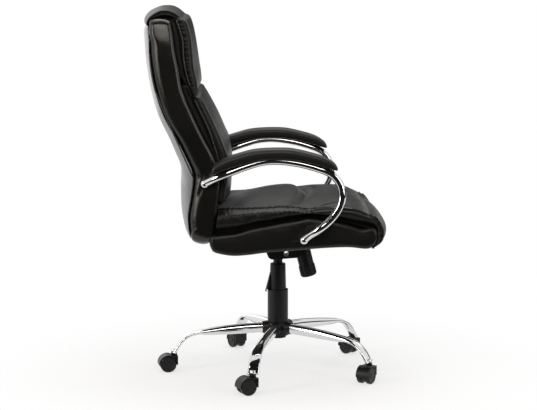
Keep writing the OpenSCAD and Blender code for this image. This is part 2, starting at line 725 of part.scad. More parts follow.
module arm_bolt(place, half) {
    translate([place[0], 0, place[1]]) {
        along_y(bolt_inner, half + ball_stand_out + 4, bolt_d / 2, $fn = coarse);
        along_y(bolt_inner, bolt_inner + bolt_head_t, bolt_head_r, $fn = coarse);
    }
}

module bolt_clearance(place, half) {
    translate([place[0], 0, place[1]]) {
        along_y(bolt_inner - 2, half + 40, bolt_d / 2 + 0.05, $fn = coarse);
        along_y(bolt_inner - 20, bolt_inner + bolt_head_t + 0.05, bolt_head_r + 0.05, $fn = coarse);
    }
}

// Seat board with a rail on each side that takes the arm bolt
module board_blank(grow) {
    corner = 40;
    at_pivot() translate([0, 0, board_c - grow]) linear_extrude(board_t + 2 * grow) offset(delta = grow)
        union() {
        translate([board_rear, corner - board_half_w])
            square([board_front - board_rear, 2 * (board_half_w - corner)]);
        translate([board_rear + corner, -board_half_w])
            square([board_front - board_rear - 2 * corner, 2 * board_half_w]);
        for (x = [board_rear + corner, board_front - corner], s = [-1, 1])
            translate([x, s * (board_half_w - corner)]) circle(r = corner, $fn = coarse);
    }
}

module seat_rails(grow) {
    base_z = seat_datum + board_t;
    mirror_pair() translate([rail_x[0] - grow, board_half_w - rail_w - 5 - grow, base_z - 6])
        cube([rail_x[1] - rail_x[0] + 2 * grow, rail_w + 2 * grow, rail_h + 6 + grow]);
}

module seat_board() {
    color("burlywood") difference() {
        union() {
            board_blank(0);
            seat_rails(0);
        }
        mirror_pair() bolt_clearance(arm_front_ball, seat_half);
        at_pivot() for (a = bracket_bolts_a, s = [-1, 1])
            translate([a, s * bracket_bolts_y, bracket_top_c - 5])
            cylinder(d = bolt_d + 0.1, h = 40, $fn = coarse);
    }
}

// Lower band of the seat: padded sides with rounded ends, hollow under the board
function band_inset(y) = 14 * pow(max(abs(y) / seat_half - 0.93, 0) / 0.07, 2.2);
seat_base_xs = [-206, -202, -192, -170, -143, -94, -37, 30, 90, 151, 204, 238, 256, 266, 270];

function base_high_x(i) = seat_base_xs[i] + (i > 10 ? 3 * (i - 10) : 0);
function base_end(e, i) = i < 4 ? e * (1 - i / 4) : i > 10 ? -e * (i - 10) / 4 : 0;

function base_ring(y) =
    let (e = band_inset(y), last = len(seat_base_xs) - 1)
    concat(
        [for (i = [0:last]) let (x = seat_base_xs[i])
            [x * seat_x + base_end(e, i), y, seat_datum + curve(x, seat_bottom_line) + e]],
        [for (i = [last:-1:0])
            let (p = [base_high_x(i),
                seat_datum + curve(seat_base_xs[i], seat_groove_line) - 2 - e - (i == 0 ? 6 : 0)],
                 q = clear_of_back(p))
            [q[0] + base_end(e, i), y, q[1]]]);

module seat_base() {
    ys = [for (t = [1, 0.985, 0.955, 0.91, 0.6, 0, -0.6, -0.91, -0.955, -0.985, -1]) t * seat_half];
    color("#1a1a1a") difference() {
        skin([for (y = ys) base_ring(y)], ladder = true);
        board_blank(soft_gap / 2);
        translate([0, 0, -board_t]) board_blank(soft_gap / 2);
        seat_rails(soft_gap / 2);
        mirror_pair() bolt_clearance(arm_front_ball, seat_half);
    }
}

// Seat cushion: two crowned panels divided by bowed seams, and a front roll over the edge
panel_steps = [5, 4, 4];
function seam_rear(y) = 84 - 66 * pow(min(abs(y) / seam_half, 1), 2);
function seam_front(y) = 256 - 150 * pow(min(abs(y) / seam_half, 1), 2.2);
function bulge(u) = 1 - pow(2 * u - 1, 4);
function seat_sides(y) = max(abs(y) - seam_half, 0) / (seat_half - seam_half);

function seat_top(x, y, u) =
    seat_datum + curve(x, seat_edge_line) - 5
    + seat_crown * curve(x, crown_share_line) * crown(y, seam_half, 2.2)
    + 8 * bulge(u);

// Keeps a point of the seat in front of the back's shell
function clear_of_back(p) =
    [max(p[0] * seat_x, shell_front(max(p[1] - back_foot_z, 0)) + 2.6), p[1]];

function seat_high(y) =
    let (rear = -196, front_x = 264 + 4 * crown(y, seam_half))
    concat(
        [for (i = [0:panel_steps[0] - 1]) let (u = i / panel_steps[0], x = mix(rear, seam_rear(y), u))
            [x, seat_top(x, y, max(u, 0.15))]],
        [for (i = [0:panel_steps[1] - 1])
            let (u = i / panel_steps[1], x = mix(seam_rear(y), seam_front(y), u))
            [x, seat_top(x, y, u)]],
        [for (i = [0:panel_steps[2]]) let (u = i / panel_steps[2], x = mix(seam_front(y), front_x, u))
            [x, seat_top(x, y, u / 2)]],
        [for (i = [1:5]) let (p = seat_front_line[i], c = crown(y, seam_half, 2))
            [p[2] + c * (4 + 27 * pow(min(p[0] / 0.6, 1), 2)), seat_datum + p[1] + 6 * c * (1 - p[0])]]);

seat_low_front = [[284.5, 56], [281, 40], [277.5, 24], [274.5, 10]];
function seat_low() =
    concat([for (i = [0:len(seat_base_xs) - 1])
               let (x = seat_base_xs[i]) [base_high_x(i), seat_datum + curve(x, seat_groove_line) + 1]],
           [for (p = seat_low_front) [p[0], seat_datum + p[1]]]);

function seat_ring(y) =
    let (s = seat_sides(y), high = seat_high(y), low = seat_low(), n = len(high),
         tuck = 0.72 * pow(s, 1.8), lift = 0.12 * s)
    concat(
        [for (i = [0:n - 1]) let (p = clear_of_back(mix(low[i], high[i], lift))) [p[0], y, p[1]]],
        [for (i = [n - 1:-1:0]) let (p = clear_of_back(mix(high[i], low[i], tuck))) [p[0], y, p[1]]]);

module seat_cushion() {
    half = [1, 0.985, 0.965, 0.94, 0.86, 0.7, 0.5, 0.25];
    ys = concat([for (t = half) t * seat_half], [0], [for (i = [len(half) - 1:-1:0]) -half[i] * seat_half]);
    color("#1e1e1e") skin([for (y = ys) seat_ring(y)], ladder = true);
}

// Back: every outline runs from the foot of the back to its top
function back_at(h) = back_foot_z + back_scale * h;
function shell_rear(h) = curve(h, shell_rear_line);
function shell_front(h) = curve(h, shell_front_line);
function corner_drop(y, half, flat, r) =
    let (d = max(abs(y) - (half - flat), 0) / flat) r * (1 - sqrt(max(1 - d * d, 0)));

function edge_round(u, zone) = u < zone ? sqrt(1 - pow(1 - u / zone, 2)) : 1;
function end_rows(foot, top, d) =
    concat([foot, foot + d, foot + 3 * d, max(48, foot + 5 * d), 67, 68.5], back_rows,
           [573.5, 575, min(612, top - 5 * d), top - 3 * d, top - d, top]);
row_count = len(back_rows) + 12;
function row_round(i, ends = [0, 0.45, 0.85]) =
    let (j = min(i, row_count - 1 - i)) j < 3 ? ends[j] : 1;

function shell_ring(y) =
    let (rows = end_rows(corner_drop(y, back_half, 70, back_round_foot),
                         660 - corner_drop(y, back_half, 70, back_round_top), 3),
         side = edge_round(1 - abs(y) / back_half, 0.06),
         recess = abs(y) < board_back_half + 1 ? back_board_t + soft_gap : 0)
    concat(
        [for (i = [0:row_count - 1]) let (h = rows[i], m = (shell_rear(h) + shell_front(h)) / 2)
            [mix(m, shell_front(h), 0.45 + 0.55 * side * row_round(i)), y, back_at(h)]],
        [for (i = [row_count - 1:-1:0]) let (h = rows[i], m = (shell_rear(h) + shell_front(h)) / 2)
            [mix(m, shell_rear(h), 0.45 + 0.55 * side * row_round(i)) + (h > 68 && h < 574 ? recess : 0),
             y, back_at(h)]]);

module back_rails(grow) {
    x0 = shell_rear(arm_rear_ball[1] - back_foot_z) + 8;
    mirror_pair() translate([x0 - grow, board_back_half - back_rail[1] - grow,
                             arm_rear_ball[1] - back_rail[2] / 2 - grow])
        cube([arm_rear_ball[0] + back_rail[0] / 2 - x0 + 2 * grow, back_rail[1] + 2 * grow,
              back_rail[2] + 2 * grow]);
}

module back_shell() {
    b = board_back_half + 1;
    ys = concat([for (t = [1, 0.994, 0.98, 0.955, 0.92]) t * back_half], [b + 0.01, b - 0.01, 120, 0],
                [-120, 0.01 - b, -b - 0.01], [for (t = [0.92, 0.955, 0.98, 0.994, 1]) -t * back_half]);
    color("#1c1c1c") difference() {
        skin([for (y = ys) shell_ring(y)], ladder = true);
        back_rails(soft_gap / 2);
        mirror_pair() bolt_clearance(arm_rear_ball, back_half);
    }
}

// Curved board in the rear of the shell, with a rail on each side that takes the arm bolt
module back_board() {
    last = len(board_rows) - 1;
    section = [for (y = [board_back_half, -board_back_half])
        concat([for (h = board_rows) [shell_rear(h) + back_board_t, y, back_at(h)]],
               [for (i = [last:-1:0]) [shell_rear(board_rows[i]), y, back_at(board_rows[i])]])];
    color("burlywood") difference() {
        union() {
            skin(section, ladder = true);
            back_rails(0);
        }
        mirror_pair() bolt_clearance(arm_rear_ball, back_half);
    }
}

// Rear panel of the back: a shallow dome over the board
function panel_ring(y) =
    let (c = crown(y, panel_half, 2.4),
         rows = end_rows(14 + corner_drop(y, panel_half, 80, 36),
                         648 - corner_drop(y, panel_half, 80, 50), 2))
    concat(
        [for (h = rows) [shell_rear(h) - soft_gap, y, back_at(h)]],
        [for (i = [row_count - 1:-1:0]) let (h = rows[i])
            [shell_rear(h) - soft_gap - 3 - curve(h, panel_depth_line) * c * row_round(i, [0, 0.35, 0.6]),
             y, back_at(h)]]);

module back_panel() {
    ys = [for (t = [1, 0.97, 0.9, 0.78, 0.6, 0.35, 0, -0.35, -0.6, -0.78, -0.9, -0.97, -1]) t * panel_half];
    color("#202020") skin([for (y = ys) panel_ring(y)], ladder = true);
}

// Main back cushion: crowned front, sides drawn in behind the front seam, top sloping back
cushion_steps = [0, 0.02, 0.06, 0.14, 0.25, 0.37, 0.5, 0.64, 0.78, 0.88, 0.95, 1];
cushion_rear_rows = [124, 140, 160, 199, 230, 262, 300, 345, 395, 425, 455, 494];
function cushion_x(h, u, c, s) =
    let (front = mix(curve(h, cushion_seam_line), curve(h, cushion_front_line), c),
         back = shell_front(h) + cushion_gap, t = edge_round(u, 0.07))
    mix(back, front, (0.35 + 0.65 * t) * (1 - 0.4 * s * s));
function cushion_ring(y) =
    let (half = back_cushion_w / 2, seam = half - 10, c = crown(y, seam, 2.2), n = len(cushion_steps),
         s = max(abs(y) - seam, 0) / (half - seam), draw = min(max((abs(y) - seam + 34) / 34, 0), 1),
         front = [for (u = cushion_steps) let (h = mix(124, 460 - 18 * (1 - c), u))
             [cushion_x(h, u, c, s), y, back_at(h)]])
    concat(front,
        [for (i = [n - 1:-1:0])
            let (h = cushion_rear_rows[i] - (i == n - 1 ? (18 + 8 * draw) * (1 - c) : 0))
            [mix(shell_front(h) + cushion_gap, front[i][0], 0.55 * draw * draw), y, back_at(h)]]);

module back_cushion() {
    half = back_cushion_w / 2;
    ys = [for (t = [1, 0.985, 0.955, 0.9, 0.8, 0.6, 0.3, 0, -0.3, -0.6, -0.8, -0.9, -0.955, -0.985, -1])
        t * half];
    color("#1e1e1e") skin([for (y = ys) cushion_ring(y)], ladder = true);
}

// Headrest: a thinner pillow above the main cushion
headrest_steps = [0, 0.03, 0.1, 0.22, 0.36, 0.5, 0.64, 0.78, 0.9, 0.97, 1];
headrest_rear_rows = [501, 506, 515, 530, 550, 570, 590, 610, 626, 640, 650];
function headrest_depth(u, s) =
    (0.5 + 0.5 * edge_round(u, 0.1) * edge_round(1 - u, 0.06)) * (1 - 0.3 * s * s);
function headrest_x(h, u, c, s) =
    let (front = mix(curve(h, headrest_seam_line), curve(h, headrest_front_line), c),
         back = shell_front(min(h, 655)) + cushion_gap)
    mix(back, front, headrest_depth(u, s));
function headrest_ring(y) =
    let (half = headrest_w / 2, seam = half - 9, c = crown(y, seam, 2.4), n = len(headrest_steps),
         s = max(abs(y) - seam, 0) / (half - seam), draw = min(max((abs(y) - seam + 26) / 26, 0), 1),
         front = [for (u = headrest_steps)
             let (h = mix(463, 658, u) - 18 * (1 - c) * pow(1 - u, 3),
                  rise = 50 * (1 - headrest_depth(u, s)) * pow(1 - u, 4))
             [headrest_x(h, u, c, s), y, back_at(h + rise)]])
    concat(front,
        [for (i = [n - 1:-1:0]) let (h = headrest_rear_rows[i])
            [mix(shell_front(h) + cushion_gap, front[i][0], 0.5 * draw * draw), y, back_at(h)]]);

module headrest_cushion() {
    half = headrest_w / 2;
    ys = [for (t = [1, 0.985, 0.955, 0.9, 0.78, 0.55, 0.28, 0, -0.28, -0.55, -0.78, -0.9, -0.955, -0.985, -1])
        t * half];
    color("#222222") skin([for (y = ys) headrest_ring(y)], ladder = true);
}

// Padded flap that goes from the headrest over the top of the back
cap_outer = [[-283, 669], [-291, 676], [-309, 686], [-334, 690], [-360, 685], [-382, 671], [-391, 657],
             [-392, 644]];
cap_inner = [[-289, 664], [-299, 666], [-316, 672], [-334, 674], [-352, 670], [-369, 661], [-379, 655],
             [-382, 648]];
module headrest_cap() {
    half = headrest_w / 2 - 14;
    ys = [for (t = [1, 0.985, 0.95, 0.88, 0.7, 0.4, 0, -0.4, -0.7, -0.88, -0.95, -0.985, -1]) t];
    color("#242424") skin([for (t = ys)
        let (thin = 0.5 * pow(max(abs(t) - 0.88, 0) / 0.12, 2), drop = 4 * pow(abs(t), 4))
        concat(
            [for (p = cap_outer) [p[0], t * half, back_at(p[1]) - drop - thin * 12]],
            [for (i = [len(cap_inner) - 1:-1:0]) let (p = cap_inner[i])
                [p[0], t * half, back_at(p[1]) - drop * 0.4]])], ladder = true);
}

// Arms: a bent tube from the side of the seat to the side of the back
arm_points = [[69, 0, 447], [83, 0.3, 460], [109, 0.92, 481], [140, 1, 506], [166, 1, 532], [181, 1, 562],
              [182, 1, 592], [169, 1, 621], [143, 1, 640], [108, 1, 653], [56, 1, 665], [-5, 1, 673],
              [-65, 1, 669], [-117, 1, 658], [-170, 0.95, 640], [-203, 0.4, 622], [-218, 0, 612]];
function arm_y(p) =
    let (foot = (p[2] < 560 ? seat_half : back_half) + ball_stand_out) mix(foot, arm_plane, p[1]);

module arm_tube() {
    path = route([for (p = arm_points) [p[0], arm_y(p), p[2]]], 2);
    color("silver") difference() {
        union() {
            sweep(path, arm_d / 2, 12);
            for (e = [[arm_front_ball, seat_half], [arm_rear_ball, back_half]])
                translate([e[0][0], 0, e[0][1]]) {
                    translate([0, e[1] + ball_stand_out, 0]) rotate([90, 0, 0]) rotate([0, 0, 225])
                        sphere(d = arm_ball_d, $fn = coarse);
                    along_y(e[1] + gap, e[1] + ball_stand_out, arm_ball_d / 2 - 3, $fn = coarse);
                }
        }
        for (e = [[arm_front_ball, seat_half], [arm_rear_ball, back_half]])
            translate([e[0][0], 0, e[0][1]])
                along_y(0, e[1] + ball_stand_out + 4.2, bolt_d / 2 + 0.1, $fn = coarse);
    }
}

arm_pad_foot = [[-196, 640], [-165, 653], [-131, 664], [-65, 681], [-5, 685], [56, 680], [108, 667],
    [140, 654], [160, 645]];
arm_pad_height = [[-196, 4], [-190, 11], [-169, 21], [-131, 30], [-74, 33], [-8, 34], [56, 32], [113, 30],
    [140, 26],
                  [156, 18], [162, 6]];
module arm_pad() {
    xs = [-196, -193, -184, -165, -131, -74, -8, 56, 108, 134, 150, 158, 161];
    lift = (arm_d - 22) / 2 + gap;
    sides = 12;
    color("#161616") skin([for (x = xs)
        let (foot = curve(x, arm_pad_foot) + lift + 2.2, h = curve(x, arm_pad_height),
             w = arm_pad_w / 2 * (0.45 + 0.55 * pow(min(h / 30, 1), 0.8)))
        [for (k = [0:sides - 1])
            let (a = 360 * (k + 0.5) / sides, ca = cos(a), sa = sin(a))
            [x, arm_plane + w * sign(ca) * pow(abs(ca), 0.6),
             foot + h / 2 + h / 2 * sign(sa) * pow(abs(sa), sa > 0 ? 0.75 : 0.35)]]]);
}

hub_tube();
hub_cover();
castor_stems();
column_tube();
guide_bush();
thrust_bearing();
lower_cover();
middle_cover();
piston_rod();
gas_cylinder();
upper_cover();
mechanism_housing();
pivot_tube();
spring_housing();
tension_spring();
tension_knob();
valve_button();
lever_sleeve();
lever_rod();
lever_grip();
seat_bracket();
frame_bolts();
seat_board();
seat_base();
seat_cushion();
back_board();
back_shell();
back_panel();
back_cushion();
headrest_cushion();
headrest_cap();
arm_tube();  // arm_tube_left
mirror([0, 1, 0]) arm_tube();  // arm_tube_right
arm_pad();  // arm_pad_left
mirror([0, 1, 0]) arm_pad();  // arm_pad_right
for (k = LEGS) leg(k);
for (k = LEGS) castor_hood(k);
for (k = LEGS) castor_axle(k);
for (k = LEGS) castor_wheel(k, 1);
for (k = LEGS) castor_wheel(k, -1);
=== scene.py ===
"""Reclining office chair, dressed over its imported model: leather, chrome, plastic and a pale studio."""

import math

import bmesh
import bpy
from bpy.props import FloatProperty, FloatVectorProperty, IntProperty, PointerProperty
from bpy.types import Operator, Panel, PropertyGroup
from mathutils import Matrix, Vector, noise


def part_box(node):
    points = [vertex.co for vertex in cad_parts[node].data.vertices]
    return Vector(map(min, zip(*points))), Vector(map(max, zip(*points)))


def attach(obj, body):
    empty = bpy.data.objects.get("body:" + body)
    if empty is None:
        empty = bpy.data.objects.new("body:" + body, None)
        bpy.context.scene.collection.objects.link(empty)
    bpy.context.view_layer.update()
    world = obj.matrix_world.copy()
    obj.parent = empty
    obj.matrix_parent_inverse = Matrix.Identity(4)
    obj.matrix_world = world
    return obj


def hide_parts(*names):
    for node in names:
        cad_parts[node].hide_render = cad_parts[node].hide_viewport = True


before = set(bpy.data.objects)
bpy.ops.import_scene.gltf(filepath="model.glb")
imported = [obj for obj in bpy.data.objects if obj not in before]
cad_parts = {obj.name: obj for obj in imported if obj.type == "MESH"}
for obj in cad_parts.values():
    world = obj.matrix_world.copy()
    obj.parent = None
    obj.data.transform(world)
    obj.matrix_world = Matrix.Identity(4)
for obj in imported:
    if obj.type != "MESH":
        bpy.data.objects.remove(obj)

bl_info = {
    "name": "Reclining office chair",
    "version": (1, 0, 0),
    "blender": (4, 5, 0),
    "location": "View3D > Sidebar > Chair",
    "description": "Builds the padding, the bright metal and the finishes of a reclining office chair",
    "category": "Object",
}

MM = 0.001
LEGS = range(1, 6)
SIDES = (("left", 1), ("right", -1))
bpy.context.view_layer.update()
MATERIALS = {}
# In metres: points closer than WELD are joined, and a skin's end whose sides are this near needs no face
WELD, MEETING = 0.00005, 0.00001
PIPING_SIDES = 8
DUST = (0.35, 0.34, 0.32)
# Steps across a cushion's face, over each border, and up it, and how many points of its face there are to
# one of its hidden rear
SEAT_ACROSS, SEAT_BORDER = 46, 16
PILLOW_ACROSS, PILLOW_BORDER, PILLOW_UP = 44, 10, 120
REAR_STEP = 8
# Steps across, up, along and around the other pieces
SHELL_UP, PANEL_ACROSS, PANEL_UP, FLAP_ACROSS, BAND_ALONG = 70, 48, 56, 48, 80
PIPING_ALONG, PANEL_PIPING_ALONG = 60, 160
PAD_ALONG, PAD_AROUND = 60, 40
GRIP_ALONG, GRIP_AROUND = 28, 28
LEG_AROUND, BOLT_AROUND, BALL_UP = 36, 28, 18

# Outlines in millimetres, as in the part's source. The seat's run from rear to front above the board's
# underside, and the back's run from its foot upwards and give the distance forwards.
PIVOT = (25.0, 366.0)
SLOPE = math.radians(3.9)
BOARD_LIFT = 48.0
SEAT_Z = PIVOT[1] + BOARD_LIFT * math.cos(SLOPE) - PIVOT[0] * math.sin(SLOPE)
SEAT_HALF, SEAT_SEAM = 250.0, 235.0
BACK_Z, BACK_HALF, BACK_TOP = 422.0, 245.0, 667.0

# Where the cushion's top starts and ends along its sides, where the groove under its edge does, and the x
# and height between which that groove runs down the front
TOP_ENDS, GROOVE_ENDS = (-196, 268), (-206, 282)
FRONT_GROOVE_X, FRONT_GROOVE_Z = (285, 272), (60, 3)
# The two seams across the seat: where they lie in the middle, how far they sweep back to the sides, and
# the power of that curve
REAR_SEAM, FRONT_SEAM = (80, 62, 2), (256, 165, 3)
# Steps along the rear panel, the middle panel and the start of the front roll
PANEL_STEPS = (78, 60, 14)
# Share of the border's way from seam to groove at which its crest lies
CREST = 0.4
# The cushion's side seams are piped in front of this
SEAT_PIPING_START = 80
SEAT_BOTTOM = [(-206, 8), (-192, -6), (-143, -16), (-94, -14), (-37, -7), (90, 3), (151, 7),
               (213, 8), (250, 4), (268, 4)]
SEAT_GROOVE = [(-206, 42), (-192, 46), (-126, 54), (-89, 65), (-52, 73), (4, 84), (60, 94),
               (84, 99), (159, 90), (216, 76), (250, 70), (285, 64)]
SEAT_SEAM_Y = [(-196, 168), (-160, 177), (-100, 191), (-40, 207), (20, 219), (60, 226), (100, 231),
               (150, 235), (285, 235)]
SEAT_SEAM_Z = [(-196, 112), (-158, 118), (-115, 119), (-70, 121), (-33, 123), (4, 127), (41, 128),
               (84, 121), (118, 126), (187, 129), (225, 123), (243, 117), (262, 107), (285, 88)]
SEAT_MID_Z = [(-196, 96), (-143, 117), (-106, 131), (-82, 138), (-30, 149), (18, 153), (60, 153),
              (100, 151), (173, 150), (205, 146), (228, 138), (244, 129), (252, 121), (260, 112),
              (270, 101), (285, 89)]
ROLL_Z = [(-196, 100), (-158, 109), (-115, 111), (-70, 115), (-33, 117), (4, 118), (41, 118),
          (84, 112), (118, 117), (187, 119), (225, 112), (243, 106), (262, 96), (285, 80)]
# Share of the way down the cushion's front, height and distance forwards
SEAT_FRONT = [(0, 100, 268), (0.2, 85, 286), (0.42, 66, 299), (0.62, 46, 303), (0.82, 24, 295), (1, 5, 268)]
# Ends of the middle line that the band's sides are drawn towards, how far its rounded edge reaches inwards
# and falls back, the shares of the way to the line, from the innermost ring outwards, and its rings across
BAND_LINE, BAND_EDGE = (-176, 250), (14, 12)
BAND_SHARES = (0.86, 0.74, 0.62, 0.5, 0.38, 0.28, 0.2, 0.13, 0.08, 0.04, 0.015)
BAND_ACROSS = (SEAT_HALF - 16, 200, 120, 0, -120, -200, 16 - SEAT_HALF)
BAND_LOW = [(-206, 34), (-207, 20), (-203, 8), (-192, -6), (-143, -16), (-94, -14), (-37, -7),
            (90, 3), (151, 7), (204, 8), (240, 4), (260, 4), (276, 12), (286, 29), (288, 45)]
BAND_HIGH = [(-206, 34), (-202, 45), (-182, 50), (-126, 56), (-89, 68), (-52, 75), (4, 86),
             (60, 95), (84, 100), (145, 91), (189, 82), (216, 73), (233, 67), (247, 67), (260, 70),
             (271, 70), (280, 65), (286, 56), (288, 45)]
# The same for the shell, whose edge has one size at the front and another at the rear. Its front is flat
# across to SHELL_FLAT and its rear to SHELL_FLAT_REAR. Its sides lean in from LEAN_START upwards, over a
# bend LEAN_BEND high that is the gentler the larger LEAN_EASE is.
SHELL_LINE, SHELL_FLAT, SHELL_FLAT_REAR = (66, 629), 232, 221
EDGE_REACH, EDGE_DROP = (15, 34), (13, 24)
SHELL_SHARES = (0.86, 0.76, 0.66, 0.58, 0.5, 0.42, 0.34, 0.27, 0.2, 0.14, 0.09, 0.05, 0.02)
SHELL_ACROSS = (231, 226, 218, 205, 185, 120, 0, -120, -185, -205, -218, -226, -231)
LEAN_START, LEAN_BEND, LEAN_EASE = 582, 35, 500
SHELL_REAR = [(0, -245), (10, -254), (22, -259), (50, -264), (91, -266), (147, -258), (199, -251),
              (221, -252), (259, -269), (303, -290), (367, -327), (425, -350), (488, -366),
              (548, -374), (605, -376), (640, -377), (670, -376)]
SHELL_FRONT = [(0, -207), (14, -200), (30, -196), (72, -189), (128, -181), (199, -174), (262, -192),
               (325, -224), (365, -243), (425, -270), (468, -285), (513, -292), (575, -304),
               (625, -310), (660, -317)]
# The rear panel: its foot, its top, its half width, and how far it stands out from the shell by height
PANEL_FOOT, PANEL_TOP, PANEL_HALF = 14, 648, BACK_HALF - 16
PANEL_DEPTH = [(0, 8), (30, 16), (90, 24), (186, 38), (287, 36), (370, 28), (480, 19),
               (580, 20), (640, 22), (660, 20)]
# Share of the way round a back cushion's side at which its rear seam lies, and the share of the border's
# width by which that seam stands outwards
BORDER, BORDER_OUT = 0.85, 0.55
# The gap between the back's cushions and the shell, and the height from which they follow it no further
SHELL_GAP, SHELL_FRONT_TOP = 0.8, 655
CUSHION_FRONT = [(124, -146), (166, -142), (236, -139), (267, -142), (302, -149), (324, -159),
                 (377, -182), (424, -208), (460, -231)]
CUSHION_SEAM = [(124, -166), (166, -160), (236, -153), (267, -155), (302, -168), (366, -195),
                (433, -228), (460, -243)]
CUSHION_REAR = [(124, -178), (166, -171), (200, -168), (256, -180), (297, -192), (349, -209),
                (415, -240), (460, -258)]
HEADREST_FRONT = [(440, -230), (464, -230), (495, -232), (521, -236), (560, -242), (602, -248),
                  (638, -256), (662, -266), (678, -280)]
HEADREST_SEAM = [(440, -232), (457, -239), (490, -244), (522, -251), (573, -255), (618, -260),
                 (655, -272), (680, -288)]
HEADREST_REAR = [(440, -254), (460, -258), (482, -265), (506, -272), (544, -279), (579, -281),
                 (607, -283), (644, -294), (668, -302)]

# Sections of the flap over the back's top, as x and height, and its hem: the half width and how far the
# outside is drawn in towards the lining there.
FLAP_HALF = 201.0
FLAP_MIDDLE = [(-284, 668), (-291, 675), (-300, 682), (-311, 688), (-324, 693), (-339, 694), (-354, 693),
               (-369, 688), (-384, 680), (-394, 670), (-399, 660), (-399, 648)]
FLAP_END = [(-276, 656), (-281, 662), (-292, 672), (-303, 681), (-318, 688), (-332, 690), (-347, 688),
            (-361, 681), (-375, 671), (-383, 661), (-386, 653), (-386, 646)]
FLAP_LINING = [(-289, 656), (-299, 654), (-316, 652), (-334, 652), (-352, 652), (-369, 651),
               (-379, 650), (-382, 646)]
FLAP_HEM = [(182, 0.5), (192, 0.46), (199, 0.4), (202, 0.3), (201, 0.2), (197, 0.13), (197, 0.1),
            (200.5, 0.05)]

# Where an arm is bolted to the seat's side and the back's, as x and z, and the height between the two
SEAT_BOLT, BACK_BOLT, ARM_PARTING = (69, 447), (-218, 612), 560
# The leather round each bolt: how deep and wide it sinks, and the creases that fan out from it, with their
# height, number and turn, and the ring round the bolt where they lie
SEAT_DIMPLE = dict(bolt=SEAT_BOLT, depth=3.2, width=26, crease=1.8, folds=9, turn=1.3, ring=26, ring_width=18)
BACK_DIMPLE = dict(bolt=BACK_BOLT, depth=3.4, width=24, crease=2.0, folds=7, turn=0.6, ring=27, ring_width=20)
# The arm's plane and tube, and how far its balls and the bosses behind them stand out from the sides
ARM_Y, TUBE_RADIUS = 291.0, 11.0
BALL_OUT, BALL_RADIUS = 13.3, 13
BOSS_OUT, BOSS_RADIUS, BOSS_LENGTH = 7.3, 10, 14
# Along an arm tube: x, share of the way from the bolts' plane out to the arm's plane, and z
ARM_PATH = [(69, 0, 447), (83, 0.3, 460), (109, 0.92, 480), (136, 1, 501), (158, 1, 525), (172, 1, 550),
            (178, 1, 577), (176, 1, 600), (167, 1, 621), (152, 1, 639), (134, 1, 650), (113, 1, 658),
            (84, 1, 667), (56, 1, 674), (27, 1, 679), (-2, 1, 682), (-31, 1, 682), (-60, 1, 678),
            (-88, 1, 670), (-117, 1, 660), (-158, 0.97, 644), (-190, 0.6, 629), (-218, 0, 612)]
PAD_ENDS, PAD_HALF = (-197, 164), 26
PAD_FOOT = [(-196, 642), (-165, 655), (-131, 666), (-65, 683), (-5, 687), (56, 682), (108, 669),
            (140, 660), (160, 655), (165, 655)]
PAD_TOP = [(-198, 662), (-190, 674), (-157, 694), (-117, 707), (-88, 715), (-60, 719), (-16, 721),
           (27, 720), (56, 715), (84, 708), (113, 700), (136, 690), (151, 680), (160, 671), (165, 661)]

# A leg's centre line from the hub outwards. Its section's height and width run between the values in
# LEG_HEIGHTS and LEG_WIDTHS, by the shares in LEG_TALL and LEG_WIDE.
LEG_Z, FIRST_LEG = 133, 183.25
LEG_X = [28, 100, 160, 215, 246, 276, 298, 312, 320]
LEG_RISE = [0, -3, -7, -11, -13, -23, -42, -63, -75]
LEG_TALL = [1, 0.98, 0.84, 0.48, 0.06, 0, 0, 0, 0]
LEG_WIDE = [0, 0.06, 0.15, 0.4, 0.65, 0.9, 1, 1, 1]
LEG_HEIGHTS, LEG_WIDTHS = (12, 31), (28, 36)
STEM_PLACE, STEM_RADIUS, STEM_LENGTH = (320, 0, 64), 8.5, 12

# The photograph's frame is FRAME_WIDTH pixels wide, and FOCAL_LENGTH is in the same pixels
FRAME_WIDTH, FOCAL_LENGTH, SENSOR = 537, 1801.5, 36.0
VIEW_YAW, VIEW_PITCH, VIEW_DISTANCE = math.radians(-1.25), math.radians(8.28), 5.4957
VIEW_TARGET = (-0.02874, 0, 0.5121)

# Lamps in metres and watts: name, place, target, size, power and colour
LAMPS = [("Overhead", (0.1, 0.5, 3.0), (0, 0, 0.5), (2.2, 1.8), 37, (1, 1, 1)),
         ("Key", (-0.3, -3.1, 2.2), (0, 0, 0.6), (2.6, 0.8), 46, (1.0, 0.92, 0.84)),
         ("Right rear", (1.9, 2.3, 1.4), (0, 0, 0.7), (0.9, 1.4), 3, (1.0, 0.96, 0.92)),
         ("Rear window", (-1.5, 3.0, 1.2), (-0.3, 0, 0.7), (1.4, 2.0), 5, (1, 1, 1)),
         ("Left window", (-2.7, -1.7, 1.4), (-0.1, 0, 0.7), (0.4, 2.0), 32, (1.0, 0.94, 0.84)),
         ("Right window", (2.3, -1.8, 1.3), (0, 0, 0.5), (0.6, 1.8), 14, (1, 1, 1))]
